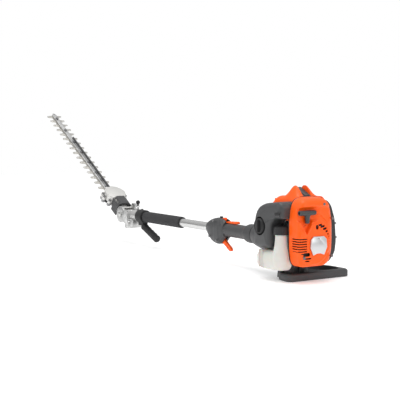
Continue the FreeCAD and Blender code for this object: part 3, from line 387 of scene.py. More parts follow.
def makeBrushed():
    # long fine lines left by drawing, grinding or brushing, along one axis of the object
    group, given, made = newGroup("brushedLines", [
        ("Stretch", "NodeSocketVector", (8, 500, 500)), ("Depth", "NodeSocketFloat", 0.00002)],
        [("Lines", "NodeSocketFloat"), ("Normal", "NodeSocketVector")])
    scaled = group.nodes.new("ShaderNodeVectorMath")
    scaled.operation = "MULTIPLY"
    group.links.new(group.nodes.new("ShaderNodeTexCoord").outputs["Object"], scaled.inputs[0])
    group.links.new(given.outputs["Stretch"], scaled.inputs[1])
    lines = noise(group, 1.0, 6.0, 0.7, scaled.outputs[0])
    relief = group.nodes.new("ShaderNodeBump")
    group.links.new(given.outputs["Depth"], relief.inputs["Distance"])
    group.links.new(lines, relief.inputs["Height"])
    group.links.new(lines, made.inputs["Lines"])
    group.links.new(relief.outputs["Normal"], made.inputs["Normal"])
    return group


mouldGrain, edgeWear, mottle, brushedLines = makeMouldGrain(), makeEdgeWear(), makeMottle(), makeBrushed()


def place(tree, group, **values):
    node = tree.nodes.new("ShaderNodeGroup")
    node.node_tree = group
    for label, value in values.items():
        node.inputs[label].default_value = value
    return node


def makeFinish(name, color, roughness, metallic=0.0, grain=1400.0, depth=0.00004, waviness=0.3, wear=0.0,
               wearColor=(0.6, 0.6, 0.6), amount=0.06, brushed=None, swing=0.12, **constants):
    # one surface: mottled colour, worn edges, uneven roughness and a fine relief
    material = bpy.data.materials.new(name)
    material.use_nodes = True
    tree = material.node_tree
    shader = tree.nodes["Principled BSDF"]
    patches = place(tree, mottle, Color=(*color, 1), Amount=amount)
    shown = patches.outputs["Color"]
    if wear:
        worn = place(tree, edgeWear)
        mix = tree.nodes.new("ShaderNodeMix")
        mix.data_type = "RGBA"
        tree.links.new(math2(tree, "MULTIPLY", worn.outputs["Mask"], wear), mix.inputs["Factor"])
        tree.links.new(shown, mix.inputs[6])
        mix.inputs[7].default_value = (*wearColor, 1)
        shown = mix.outputs[2]
    tree.links.new(shown, shader.inputs["Base Color"])
    if brushed:
        relief = place(tree, brushedLines, Stretch=brushed, Depth=depth)
        uneven = relief.outputs["Lines"]
    else:
        relief = place(tree, mouldGrain, Scale=grain, Depth=depth, Waviness=waviness)
        uneven = patches.outputs["Dull"]
    tree.links.new(remap(tree, uneven, 0.3, 0.7, roughness - swing / 2, roughness + swing / 2),
                   shader.inputs["Roughness"])
    tree.links.new(relief.outputs["Normal"], shader.inputs["Normal"])
    shader.inputs["Metallic"].default_value = metallic
    for label, value in constants.items():
        shader.inputs[label.replace("_", " ")].default_value = value
    return material


print("materials")
orangePlastic = makeFinish("orangePlastic", (1.0, 0.108, 0.003), 0.40, wear=0.2, wearColor=(1.0, 0.30, 0.09),
                           depth=0.00003, amount=0.05, Specular_IOR_Level=0.3)
darkPlastic = makeFinish("darkPlastic", (0.044, 0.044, 0.046), 0.50, wear=0.5, wearColor=(0.16, 0.16, 0.16),
                         depth=0.00006, amount=0.10)
greyPlastic = makeFinish("greyPlastic", (0.048, 0.049, 0.051), 0.47, wear=0.5, wearColor=(0.18, 0.18, 0.18),
                         depth=0.00006, amount=0.10)
blackRubber = makeFinish("blackRubber", (0.010, 0.010, 0.011), 0.62, wear=0.4, wearColor=(0.05, 0.05, 0.05),
                         grain=900.0, depth=0.00008, amount=0.12)
foamSkin = makeFinish("foamSkin", (0.030, 0.030, 0.032), 0.92, grain=520.0, depth=0.0003, waviness=0.8,
                      amount=0.22, swing=0.06)
tankPlastic = makeFinish("tankPlastic", (0.64, 0.632, 0.59), 0.42, grain=700.0, depth=0.00004, waviness=0.9,
                         amount=0.05, Subsurface_Weight=0.35, Subsurface_Scale=0.008)
drawnTube = makeFinish("drawnTube", (0.60, 0.60, 0.595), 0.28, 1.0, brushed=(6, 420, 420), depth=0.00001,
                       swing=0.10)
castAluminium = makeFinish("castAluminium", (0.50, 0.50, 0.495), 0.38, 0.9, grain=620.0, depth=0.00012,
                           wear=0.6, wearColor=(0.85, 0.85, 0.85), amount=0.10)
paleCasting = makeFinish("paleCasting", (0.60, 0.595, 0.575), 0.46, 0.5, grain=700.0, depth=0.00010, wear=0.5,
                         wearColor=(0.92, 0.92, 0.92), amount=0.08)
greyCasting = makeFinish("greyCasting", (0.26, 0.26, 0.265), 0.50, 0.55, grain=600.0, depth=0.00014, wear=0.6,
                         wearColor=(0.6, 0.6, 0.6), amount=0.14)
bladeSteel = makeFinish("bladeSteel", (0.50, 0.485, 0.45), 0.32, 1.0, brushed=(420, 14, 420), depth=0.00002,
                        wear=0.9, wearColor=(0.88, 0.88, 0.88), amount=0.12)
brightSteel = makeFinish("brightSteel", (0.58, 0.58, 0.57), 0.26, 1.0, grain=300.0, depth=0.00002, wear=0.6,
                         wearColor=(0.85, 0.85, 0.85), amount=0.10)
zincBolt = makeFinish("zincBolt", (0.17, 0.17, 0.175), 0.40, 0.8, grain=500.0, depth=0.00004, wear=0.8,
                      wearColor=(0.5, 0.5, 0.5), amount=0.16)
blackSteel = makeFinish("blackSteel", (0.030, 0.030, 0.031), 0.46, 0.3, grain=900.0, depth=0.0001, wear=0.5,
                        wearColor=(0.25, 0.25, 0.25), amount=0.12)
chromeRod = makeFinish("chromeRod", (0.78, 0.78, 0.78), 0.14, 1.0, grain=200.0, depth=0.00001, amount=0.04,
                       swing=0.05)
badgeMetal = makeFinish("badgeMetal", (0.60, 0.61, 0.62), 0.36, 0.55, brushed=(500, 500, 9), depth=0.00001,
                        amount=0.04)
filterFoam = makeFinish("filterFoam", (0.10, 0.10, 0.09), 0.95, grain=420.0, depth=0.0006, waviness=0.6,
                        amount=0.3)
twistedNylon = makeFinish("twistedNylon", (0.70, 0.69, 0.66), 0.62, grain=1500.0, depth=0.00006, amount=0.15)
bySlot = {"orange_plastic": orangePlastic, "dark_plastic": darkPlastic, "grey_plastic": greyPlastic,
          "black_rubber": blackRubber, "foam": foamSkin, "clear_tank": tankPlastic,
          "aluminium_tube": drawnTube,
          "cast_aluminium": castAluminium, "magnesium_case": paleCasting, "blade_steel": bladeSteel,
          "steel": brightSteel, "black_steel": blackSteel, "badge": badgeMetal, "filter": filterFoam,
          "rope": twistedNylon}


def fit(piece, node, finish=None, replaced=(), angle=32, rides=True):
    # colour the piece, set it on the body of the CAD node, and let it stand for that node
    material = finish or bySlot[slotOf[node]]
    piece.data.materials.clear()
    piece.data.materials.append(material)
    for face in piece.data.polygons:
        face.material_index = 0
    shade(piece.data, angle)
    if rides:
        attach(piece, bodyOf[node])
    if replaced is not None:
        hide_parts(*(replaced or (node,)))
    return piece


def edged(node, width=0.5, finish=None, angle=32, segments=2):
    # the CAD solid with its faces merged and its edges broken
    mesh = frame["nodes"][node].data.copy()
    mesh.name = node + ".edged"
    work = bmesh.new()
    work.from_mesh(mesh)
    bmesh.ops.remove_doubles(work, verts=work.verts, dist=2e-6)
    bmesh.ops.dissolve_limit(work, angle_limit=math.radians(0.6), verts=work.verts, edges=work.edges)
    work.to_mesh(mesh)
    work.free()
    piece = addObject(node + ".edged", mesh)
    softBevel(piece, width, segments, angle)
    return fit(piece, node, finish)


# rear cover with the recoil starter

cover = {"front": 58, "rear": 98, "wall": 2.4, "leftRound": 6, "rightRound": 24, "topRound": 17,
         "lowRound": 9,
         "ring": (-13, 98, 52), "points": 220}
coverOutline = [(-46, 42), (30, 42), (47, 52), (55, 76), (58, 104), (57, 150), (50, 187), (36, 206),
                (20, 213), (-30, 213), (-47, 206), (-56, 187), (-60, 154), (-60, 104), (-59, 78), (-55, 54)]


def coverFace(y, z):
    # how far back the face of the cover stands at a point, before its edges are rounded
    x = cover["rear"] - 3.2
    ringY, ringZ, ringR = cover["ring"]
    out = math.hypot(y - ringY, z - ringZ)
    x += 2.6 * (1 - smooth(ringR - 3, ringR, out)) * (1 - smooth(150, 156, z))
    x += 3.2 * smooth(186, 194, z) * (1 - smooth(200, 213, z)) * bump(-52, 44, 14, y)
    across = abs(y + 36)
    funnel = (z - 124) * 0.58
    forBar = bump(161, 184, 9, z) * (1 - smooth(-14, 8, y))  # room for the bar of the T-handle
    forStem = smooth(-1.0, 1.0, funnel - across) * smooth(122, 127, z) * (1 - smooth(166, 172, z))
    x -= 8.4 * max(forBar, forStem)
    lip = bump(1.2, 5, 1.2, across - funnel) * smooth(122, 128, z) * (1 - smooth(150, 158, z))
    x += 2.0 * lip * (1 - forBar)
    # joint line of the cover
    x -= 1.3 * bump(-0.3, 0.5, 0.7, z - 153.6 - 0.006 * y) * (1 - smooth(-50, -46, y))
    arc = math.hypot(y + 30, z - 100)
    x -= 1.2 * bump(-0.3, 0.3, 0.7, arc - 78) * smooth(-6, -2, y) * smooth(146, 150, z)
    return x


def makeStarterCover():
    loop = spread(rounded(coverOutline, 14), cover["points"])
    normals = inward(loop)
    radii = []
    for n in normals:
        right, left, low, high = max(-n.x, 0), max(n.x, 0), max(n.y, 0), max(-n.y, 0)
        total = right + left + low + high
        radii.append((right * cover["rightRound"] + left * cover["leftRound"] + low * cover["lowRound"]
                      + high * cover["topRound"]) / total)
    for _ in range(12):
        radii = [(radii[i - 1] + radii[i] + radii[(i + 1) % len(radii)]) / 3 for i in range(len(radii))]
    rings = [[(cover["front"], p.x, p.y) for p in loop], [(cover["front"] + 8, p.x, p.y) for p in loop]]
    for k in range(9):
        turn = math.pi / 2 * k / 8
        ring = []
        for p, n, r in zip(loop, normals, radii):
            q = p + n * r * (1 - math.cos(turn))
            ring.append((coverFace(q.x, q.y) - r * (1 - math.sin(turn)), q.x, q.y))
        rings.append(ring)
    inner = [p + n * r for p, n, r in zip(loop, normals, radii)]
    mid = Vector((-6, 128))
    for k in range(1, 61):
        ring = []
        for p in inner:
            q = p.lerp(mid, k / 61)
            ring.append((coverFace(q.x, q.y), q.x, q.y))
        rings.append(ring)
    count = len(loop)
    points = [p for ring in rings for p in ring] + [(coverFace(*mid), mid.x, mid.y)]
    faces = []
    for r in range(len(rings) - 1):
        for i in range(count):
            j = (i + 1) % count
            faces.append((r * count + i, r * count + j, (r + 1) * count + j, (r + 1) * count + i))
    last = (len(rings) - 1) * count
    faces += [(last + i, last + (i + 1) % count, len(points) - 1) for i in range(count)]
    piece = addObject("starterCover", meshFrom("starterCover", points, faces))
    facingOut(piece.data)
    if piece.data.polygons[len(faces) - 1].normal.x < 0:
        piece.data.flip_normals()
    wall = piece.modifiers.new("wall", "SOLIDIFY")
    wall.thickness, wall.offset = cover["wall"] * mm, -1
    bake(piece)
    slots = []
    for index, (first, last) in enumerate(((-62.5, -33), (-62.5, -34), (-62.5, -34), (-62, -34), (-61, -34),
                                           (-59, -34), (-53, -44), (-48, -45))):
        z = 112 - 6.1 * index
        slots.append(prism(rounded([(first, z - 1.5), (last, z - 1.5), (last, z + 1.5), (first, z + 1.5)],
                                   1.2, 3),
                           "YZ", 70, 104))
    ringY, ringZ, ringR = cover["ring"]
    for angle, length, thick in ((66, 13, 4.8), (56.5, 16, 5.2), (46, 14, 5.4), (36, 9, 5.0), (27, 6.4, 4.4),
                                 (19, 4.6, 3.8), (12, 3.6, 3.2), (5, 3, 2.6), (-2, 2.6, 2.2), (-9, 2.4, 2.0)):
        turn = math.radians(angle)
        y, z = ringY + (ringR - 1) * math.cos(turn), ringZ + (ringR - 1) * math.sin(turn)
        half, tall = length / 2, thick / 2
        slots.append(prism([Vector((y + a * half, z + b * tall + a * half * 0.12)) for a, b in
                            ((-1, -1), (1, -1), (1, 1), (-1, 1))], "YZ", 70, 104))
    for y, z, half, tall in ((-35.5, 73.5, 11, 4.6), (-33.5, 63.4, 13, 2.0), (-33, 57.2, 7, 1.6)):
        slots.append(prism(rounded([(y - half, z - tall), (y + half, z - tall), (y + half, z + tall),
                                    (y - half, z + tall)], tall, 4), "YZ", 70, 104))
    ball = [Vector((-3 + 4.6 * math.cos(a * math.pi / 10),
                    139.7 + 6.2 * math.sin(a * math.pi / 10))) for a in range(20)]
    slots.append(prism(ball, "YZ", 70, 104))
    boolean(piece, joined("slots", slots), tangled=True)
    return fit(piece, "starter_cover", orangePlastic, angle=38)


print("covers")
makeStarterCover()
edged("badge_plate", 0.7)


def makeGasket():
    # the thin black seal between the rear cover and the engine
    loop = spread(rounded(coverOutline, 14), 160)
    normals = inward(loop)
    rings = [[(x, (p - n * min(out, 0.2 + 1.2 * (p.y < 150))).x,
               (p - n * min(out, 0.2 + 1.2 * (p.y < 150))).y)
              for p, n in zip(loop, normals)]
             for x, out in ((55.6, -6), (55.6, 0.6), (56.2, 1.4), (57.6, 1.4), (58.2, 0.6), (58.2, -6))]
    rings.append(rings[0])
    gasket = addObject("coverGasket", loft("coverGasket", rings, closedEnds=False))
    return fit(gasket, "starter_cover", blackRubber, replaced=None)


makeGasket()


def makeBaffles():
    # dark plates just behind the openings of the cover
    zones = [[(-57, 66), (-33, 66), (-33, 117), (-57, 117)], [(-51, 52), (-16, 52), (-16, 80), (-51, 80)],
             [(-9, 128), (30, 96), (46, 96), (44, 122), (22, 149), (-9, 149)]]
    parts = []
    for index, zone in enumerate(zones):
        mesh = crowned("baffle", rounded(zone, 4), "YZ", 88.8 + 0.3 * index, 90.2 + 0.3 * index, 0.5, 0.2, 60)
        parts.append(([v.co / mm for v in mesh.vertices], [tuple(f.vertices) for f in mesh.polygons]))
    return fit(addObject("coverBaffles", joined("coverBaffles", parts)), "starter_cover", blackRubber,
               replaced=None)


makeBaffles()


# hood over the cylinder, its two fins and the grille between them

hoodSize = {"front": -50, "rear": 55.4, "left": -39.4, "right": 58, "top": 212.5, "fin": 239.5, "step": 2.2,
            "wall": 2.0}


def hoodTop(x, y):
    base = hoodSize["top"] - 20 * (1 - smooth(-54, -14, x)) ** 1.5
    run = smooth(-8, 22, x) * (1 - smooth(26, 57, x)) ** 0.8
    side = abs(y - 1)
    rise = smooth(11.4, 13.8, side) * (1 - smooth(14, 40, side)) ** 1.1
    valley = 4.5 * (1 - smooth(11.4, 12.8, side)) * (1 - smooth(30, 50, x))
    return base + (hoodSize["fin"] - hoodSize["top"]) * rise * run + valley * smooth(-16, 8, x)


def makeHood():
    rings = []
    x = hoodSize["front"]
    while x <= hoodSize["rear"] + 0.01:
        ring = [(x, hoodSize["left"], 152.0), (x, hoodSize["left"], 165.0), (x, hoodSize["left"], 180.0)]
        steps = 72
        for k in range(steps + 1):
            y = hoodSize["left"] + (hoodSize["right"] - hoodSize["left"]) * k / steps
            edge = min(y - hoodSize["left"], hoodSize["right"] - y)
            drop = 17 - math.sqrt(max(17 ** 2 - max(17 - edge, 0) ** 2, 0))
            ring.append((x, y, hoodTop(x, y) - drop))
        ring += [(x, hoodSize["right"], 192.0), (x, hoodSize["right"], 188.0)]
        rings.append(ring)
        x += hoodSize["step"]
    count = len(rings[0])
    points = [p for ring in rings for p in ring]
    faces = [(r * count + i, r * count + i + 1, (r + 1) * count + i + 1, (r + 1) * count + i)
             for r in range(len(rings) - 1) for i in range(count - 1)]
    faces.append(tuple(range(count)))
    hood = addObject("engineHood", meshFrom("engineHood", points, faces))
    facingOut(hood.data)
    if hood.data.polygons[len(faces) // 2].normal.z < 0:
        hood.data.flip_normals()
    wall = hood.modifiers.new("wall", "SOLIDIFY")
    wall.thickness, wall.offset = hoodSize["wall"] * mm, -1
    bake(hood)
    vents = [prism(rounded([(y, 182), (y + 4, 182), (y + 4, 203), (y, 203)], 1.8, 3), "YZ", -60, -40)
             for y in range(-24, 44, 9)]
    boolean(hood, joined("vents", vents))
    return fit(hood, "engine_hood", orangePlastic, angle=40)


def makeGrille():
    # slanted louvres that fall away towards the rear between the fins
    shapes = []
    for index in range(6):
        x, z = 50 - 6.6 * index, 216.4 + 3.0 * index
        half = 8.2 + 0.62 * index
        shapes.append(prism([(x + 2.6, z - 1.5), (x - 4.4, z + 1.5), (x - 4.4, z + 3.6), (x + 1.4, z + 1.0)],
                            "XZ", 1 - half, 1 + half))
    shapes.append(prism([(53, 211.6), (54, 213.4), (17, 232.0), (12, 232.0), (8, 226), (4, 211.6)], "XZ",
                        -11.2, 13.2))
    grille = addObject("topGrille", joined("topGrille", shapes))
    softBevel(grille, 0.5, 2)
    return fit(grille, "top_grille", darkPlastic)


makeHood()
makeGrille()


# air filter cover, its knob, and the parts behind

filterSize = {"in": -40, "out": -88, "edge": 13}
filterOutline = [(-60, 86), (-46, 82), (2, 82), (9, 88), (9, 140), (16, 152), (28, 159), (56, 159),
                 (57.5, 190), (46, 202), (-18, 195), (-44, 184), (-58, 158), (-60.5, 120)]


def makeFilterCover():
    outline = rounded(filterOutline, [8, 8, 8, 7, 9, 7, 6, 4, 10, 16, 24, 24, 24, 20])
    solid = crowned("filterCover", outline, "XZ", filterSize["in"], filterSize["out"], filterSize["edge"],
                    2.5, 150, centre=(-20, 142))
    cover = addObject("filterCover", solid)
    hollow = crowned("hollow", rounded([(-54, 92), (4, 92), (4, 140), (12, 156), (26, 166), (51, 166),
                                        (51, 188),
                                        (40, 196), (-18, 189), (-40, 178), (-52, 156)], 5), "XZ", -39, -84,
                                        9, 1, 110,
                     centre=(-20, 142))
    boolean(cover, hollow, tangled=True)
    well = lathe("well", [(-92, 24.6), (-86, 23.6), (-81.6, 23)], at=knobCentre, axis="y", count=64)
    crease = joined("crease", [prism([(9.4, 182), (7.6, 170), (7.0, 122), (8.2, 122), (8.8, 170),
                                      (10.6, 182)], "XZ",
                                     -89.5, -87.4)])
    boolean(cover, well, tangled=True)
    boolean(cover, crease, tangled=True)
    notches = joined("notches", [block((-36, -93, 80), (-22, -83, 84.2)),
                                 block((16, -64, 198.5), (38, -57, 206))])
    boolean(cover, notches, tangled=True)
    return fit(cover, "filter_cover", greyPlastic, angle=40)


def makeFilterKnob():
    # round knob with a finger rib across it
    base = lathe("knobBase", [(-82.2, 20.5), (-88.4, 20.0), (-90.6, 18.8), (-91.4, 16.5), (-90.4, 14.5),
                              (-89.6, 0)],
                 at=knobCentre, axis="y", count=72,
                 shape=lambda a, along: 1 - 0.018 * (1 if math.cos(24 * a) > 0.2 else 0))
    rib = joined("knobRib", [prism(rounded([(-33.5, 120), (-24.5, 120), (-24.5, 154), (-33.5, 154)], 4, 5),
                                   "XZ", -84, -96.5)])
    knob = addObject("filterKnob", base)
    boolean(knob, rib, "UNION")
    softBevel(knob, 0.9, 3, 40)
    return fit(knob, "filter_knob", blackRubber, angle=40)


makeFilterCover()
makeFilterKnob()
filterPad = addObject("filterPad", crowned("filterPad",
                                           rounded([(-48, 110), (6, 110), (6, 158), (-48, 158)], 7), "XZ",
                                           -57, -69.4, 3, 1.2, 100))
boolean(filterPad, lathe("stem", [(-75, 9.4), (-50, 9.4)], at=knobCentre, axis="y", count=40))
fit(filterPad, "filter_foam")


# fuel tank and cap

tankSize = {"voxel": 1.3, "ease": 5}


def makeTank():
    end = 56
    low, high = 27.5, 78
    outline = rounded([(-54, 34), (-38, low), (30, low), (48, 31), (end, 46), (end, high - 8),
                       (end - 8, high), (-42, high), (-55, high - 12), (-56, 50)], 16)
    body = crowned("tankBody", outline, "XZ", -45.5, -84, 17, 1, 120, foot=4)
    x, y = neckAt
    neck = lathe("tankNeck", [(33, 12), (40, 18), (52, 21.4), (66, 21.8), (80, 20), (92, 17.6), (104, 16.4),
                              (118, 15.6), (122, 15.6)], at=(x, y, 0), axis="z", count=48)
    ridges = []
    for at in (-30, -21):
        ridges.append(joined("seam", [prism(rounded([(at - 1.6, -87.6), (at + 1.6, -87.6), (at + 1.6, -60),
                                                     (at - 1.6, -60)], 0.8, 2), "XY", 33, 78.6)]))
    tank = blended("fuelTank", [body, neck] + ridges, tankSize["voxel"], tankSize["ease"])
    return fit(tank, "fuel_tank", tankPlastic, angle=60)


def makeCap():
    # domed cap with moulded finger ribs
    ribs = 20
    profile = [(119.6, 18.6), (120, 19.5), (121.5, 20), (134, 20), (136.5, 19.2), (139, 17.5), (140.6, 14.5),
               (141.4, 9), (141.8, 3)]
    cap = lathe("fuelCap", profile, at=(*neckAt, 0), axis="z", count=160,
                shape=lambda a, z: 1 - 0.035 * (0.5 + 0.5 * math.cos(ribs * a)) ** 3 * bump(122, 136, 2, z))
    return fit(addObject("fuelCap", cap), "fuel_cap", blackRubber, angle=45)


print("fuel and stand")
makeTank()
makeCap()


# the foot that the engine stands on

def makeStand():
    outline = rounded([(-62, 0), (2, -48), (40, -54), (52, -46), (52, 138), (44, 145), (20, 145), (-22, 145),
                       (-50, 131), (-62, 105)], [10, 8, 9, 12, 10, 8, 14, 16, 16, 14])
    foot = addObject("stand", crowned("stand", outline, "XY", 0, 20, 6.5, 0, 150, foot=2.5, centre=(-5, 45)))
    trough = crowned("trough", rounded([(-50, -4), (-12, -36), (30, -42), (37, -34), (37, 118), (26, 130),
                                        (0, 132),
                                        (-18, 132), (-40, 118), (-50, 98)], 9), "XY", 24, 5, 5, 0, 120,
                                        centre=(-5, 45))
    boolean(foot, trough)
    legs = []
    for x in (-22, 6):
        for y in (-30, 18):
            legs.append(([(x - 4, y - 2, 3), (x + 20, y - 2, 3), (x + 20, y + 14, 3), (x - 4, y + 14, 3),
                          (x, y, 46), (x + 16, y, 46), (x + 16, y + 12, 46), (x, y + 12, 46)],
                         [(0, 1, 2, 3), (4, 5, 6, 7), (0, 1, 5, 4), (1, 2, 6, 5), (2, 3, 7, 6),
                          (3, 0, 4, 7)]))
    boolean(foot, joined("legs", legs), "UNION")
    softBevel(foot, 1.2, 3, 50)
    return fit(foot, "stand", darkPlastic, angle=40)


makeStand()


# recoil T-handle and rope

def makeHandle():
    bar = lathe("bar", [(-58, 5.0), (-57.2, 5.9), (-55, 6.3), (-44, 6.4), (-32, 6.5), (-20, 6.4), (-9, 6.1),
                        (-7, 5.2), (-6.1, 3.0)], at=(94, 0, 176), axis="y", count=40)
    stem = lathe("stem", [(150.2, 4.6), (151, 5.4), (156, 5.8), (164, 6.4), (170, 7.6), (174, 8)],
                 at=(94, -32, 0), axis="z", count=40)
    handle = blended("starterHandle", [bar, stem], 0.7, 6)
    boolean(handle, lathe("hole", [(-60, 3.3), (-50, 3.1)], at=(94, 0, 176), axis="y", count=24))
    return fit(handle, "starter_handle", darkPlastic, angle=50)


def makeRope():
    # three strands laid round each other
    shapes = []
    for strand in range(3):
        rings = []
        for k in range(47):
            z = 104.3 + k
            turn = 2 * math.pi * (strand / 3 + k / 9)
            mid = Vector((84 + 0.75 * math.cos(turn), -32 + 0.75 * math.sin(turn), z))
            rings.append([mid + Vector((0.8 * math.cos(a), 0.8 * math.sin(a), 0)) for a in
                          [2 * math.pi * i / 8 for i in range(8)]])
        mesh = loft("strand", rings)
        shapes.append(([v.co / mm for v in mesh.vertices], [tuple(f.vertices) for f in mesh.polygons]))
    rope = addObject("starterRope", joined("starterRope", shapes))
    fit(rope, "starter_rope", rides=False)
    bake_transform(rope)
    return rope


makeHandle()
makeRope()


# shaft housing, grips and throttle handle

print("shaft and handles")
housing = addObject("clutchHousing", pipe("clutchHousing", [
    (-151.8, 27.2), (-151, 28.6), (-148, 29.4), (-142, 31.0), (-134, 33.2), (-124, 35), (-112, 36.6),
    (-104, 37.6),
    (-90, 39.0), (-78, 39.3), (-76, 38.4), (-74, 38.4), (-72, 39.4), (-40, 39.4), (-38, 38.6), (-36, 37.2)],
    tubeRadius, crank))
fit(housing, "clutch_housing", greyPlastic, angle=40)
ring = addObject("damperRing", pipe("damperRing",
                                    [(-159.1, 25.5), (-158.4, 26.6), (-157, 27), (-154.4, 27), (-152.9, 26.5),
                                                   (-152.3, 25)], tubeRadius, crank))
fit(ring, "damper_ring", blackRubber)


def gripRibs(a, along):
    rib = bump(0.4, 3.2, 0.8, (-along) % 8) * bump(-290, -218, 4, along)
    return 1 - 0.03 * rib * smooth(-0.2, 0.4, math.cos(a + 1.2))


rearGrip = addObject("rearGrip", pipe("rearGrip",
                                      [(-297.6, 18.2), (-296, 19)] + [(-294 + 1.0 * k, 19) for k in range(80)]
                                      + [(-212, 19), (-207, 19.2), (-202, 20.2), (-197, 22.0), (-192, 24.2),
                                         (-187, 25.6),
                                         (-183, 26), (-162, 26), (-160.2, 25.4), (-159.8, 24)], tubeRadius,
                                         crank, shape=gripRibs))
fit(rearGrip, "rear_grip", darkPlastic, angle=40)

shellSize = {"front": -389.8, "rear": -298.2,
             "top": [(-390, 16), (-385, 19.5), (-372, 25.5), (-358, 30), (-344, 32.2), (-318, 32.2),
                     (-308, 31), (-302, 28), (-298, 22)],
             "low": [(-390, -15), (-385, -20), (-376, -29), (-364, -38), (-354, -42.5), (-344, -44),
                     (-330, -44), (-320, -41), (-310, -33), (-303, -26), (-298, -21)],
             "side": [(-390, 14.5), (-385, 17), (-372, 20.5), (-358, 22), (-318, 22), (-308, 21), (-302, 20),
                      (-298, 18)]}


def along(table, x):
    for (x0, v0), (x1, v1) in zip(table, table[1:]):
        if x <= x1:
            t = max((x - x0) / (x1 - x0), 0)
            return v0 + (v1 - v0) * t
    return table[-1][1]


def makeShells():
    # both halves of the throttle handle, with the joint down the middle and a raised band behind
    rings = []
    x = shellSize["front"]
    while x <= shellSize["rear"]:
        # sizes averaged over a few millimetres, so that the corners of the tables don't show
        high, low, half = (sum(along(shellSize[key], x + s) for s in (-4, -2, 0, 2, 4)) / 5
                           for key in ("top", "low", "side"))
        band = 0.9 * bump(-340, -318, 1.0, x)  # raised band that holds the two halves
        mid, tall = (high + low) / 2, (high - low) / 2
        ring = []
        for i in range(72):
            a = 2 * math.pi * i / 72
            c, s = math.cos(a), math.sin(a)
            y = math.copysign(abs(c) ** 0.74, c) * (half - 0.9 + band)
            z = math.copysign(abs(s) ** 0.74, s) * (tall - 0.9 + band)
            groove = 0.8 * (1 - smooth(0.4, 1.3, abs(y)))
            ring.append((x, y, 98 + mid + z * (1 - groove / max(tall, 1))))
        rings.append(ring)
        x += 1.1
    shells = addObject("throttleShells", loft("throttleShells", rings))
    tools = [block((-333, -4.6, 40), (-288, 4.6, 82)), block((-337, -6, 114), (-294, 6, 136))]
    boolean(shells, joined("shellCuts", tools))
    boolean(shells, lathe("tubeHole", [(-420, tubeRadius), (-280, tubeRadius)], at=crank, axis="x", count=48))
    return fit(shells, "handle_shell_left", greyPlastic,
               replaced=("handle_shell_left", "handle_shell_right"), angle=38)


makeShells()


def makeTrigger():
    x, low = -322, 71
    outline = [(x - 5, low + 3), (x - 7, low - 4), (x - 3, low - 11), (x + 4, low - 13), (x + 20, low - 21),
               (x + 34, low - 30.5), (x + 42, low - 33), (x + 46, low - 29), (x + 42, low - 22),
               (x + 22, low - 10), (x + 12, low - 3), (x + 6, low + 4)]
    blade = addObject("throttleTrigger", joined("throttleTrigger",
                                                [prism(rounded(outline, 5, 5), "XZ", -4, 4)]))
    grooves = [prism([(x + 20 + 5 * k, low - 8 - 4 * k), (x + 22 + 5 * k, low - 9.6 - 4 * k),
                      (x + 16 + 5 * k, low - 17 - 4 * k), (x + 14 + 5 * k, low - 15.4 - 4 * k)], "XZ", side,
                      side * 1.2)
               for k in range(1, 5) for side in (3.4, -3.4)]
    boolean(blade, joined("grooves", grooves))
    boolean(blade, lathe("pinHole", [(-9, 2.1), (9, 2.1)], at=(x, 0, low), axis="y", count=24))
    softBevel(blade, 1.2, 3, 40)
    return fit(blade, "throttle_trigger", orangePlastic, angle=40)


def makeLockout():
    x, z = -297, 98
    outline = [(x - 3, z + 21), (x + 1, z + 19.8), (x + 40, z + 19.8), (x + 52.6, z + 20.2),
               (x + 52.8, z + 25), (x + 48, z + 26.9), (x + 40, z + 26.4), (x + 4, z + 24.2), (x - 3, z + 23)]
    wedge = addObject("throttleLockout", joined("throttleLockout",
                                                [prism(rounded(outline, 2.2, 4), "XZ", -5, 5)]))
    softBevel(wedge, 1.3, 3, 40)
    return fit(wedge, "throttle_lockout", orangePlastic, angle=40)


makeTrigger()
makeLockout()
edged("stop_switch", 0.8, orangePlastic, segments=3)
edged("fast_idle_button", 0.8, blackRubber, segments=3)


def makeFoam():
    # soft sleeve with rounded ends and a slight ripple along its length
    profile = [(-771.6, 14.5), (-771, 16.4), (-769.5, 17.3), (-767, 17.65)]
    profile += [(-767 + 3 * k, 17.65 - 0.18 * (0.5 + 0.5 * math.sin(k * 0.7))) for k in range(1, 73)]
    profile += [(-550, 17.65), (-547.5, 17.3), (-546, 16.3), (-545.4, 14.5)]
    return addObject("foamGrip", pipe("foamGrip", profile, tubeRadius, crank, count=72))


foamGrip = makeFoam()
fit(foamGrip, "foam_grip")


def makeSideHandle():
    # rubber grip with scallops for the fingers down its front
    slant = Matrix.Rotation(math.radians(112), 3, "Y")
    start = Vector((-790, 0, 67.5))
    rings = []
    for k in range(52):
        reach = 6 + k * 1.84
        wave = 1.3 * (0.5 - 0.5 * math.cos(2 * math.pi * (reach - 14) / 20)) * bump(16, 92, 4, reach)
        radius = 12.6 if reach < 12 else 11.9
        if reach > 96:
            radius *= math.sqrt(max(1 - ((reach - 96) / 4.6) ** 2, 0.12))
        ring = []
        for i in range(40):
            a = 2 * math.pi * i / 40
            facing = max(-math.cos(a), 0)
            r = radius - wave * facing - 0.25 * (i % 2)
            ring.append(start + slant @ Vector((r * math.cos(a), r * math.sin(a), reach)))
        rings.append(ring)
    grip = addObject("sideHandle", loft("sideHandle", rings))
    return fit(grip, "side_handle", blackRubber, angle=45)


makeSideHandle()


# the cutter head keeps its sizes: each solid gets broken edges and its own metal

print("cutter head")
headFinishes = {"head_base": (castAluminium, 0.8), "pivot_pin": (brightSteel, 0.6),
                "tilt_lever": (chromeRod, 0.9),
                "lever_knob": (blackRubber, 0.6), "head_case": (paleCasting, 0.7),
                "case_bottom": (greyCasting, 0.6),
                "support_bar": (castAluminium, 0.5), "head_bolts": (zincBolt, 0.5),
                "upper_blade": (bladeSteel, 0.35), "lower_blade": (bladeSteel, 0.35)}
for node, (finish, width) in headFinishes.items():
    edged(node, width, finish)


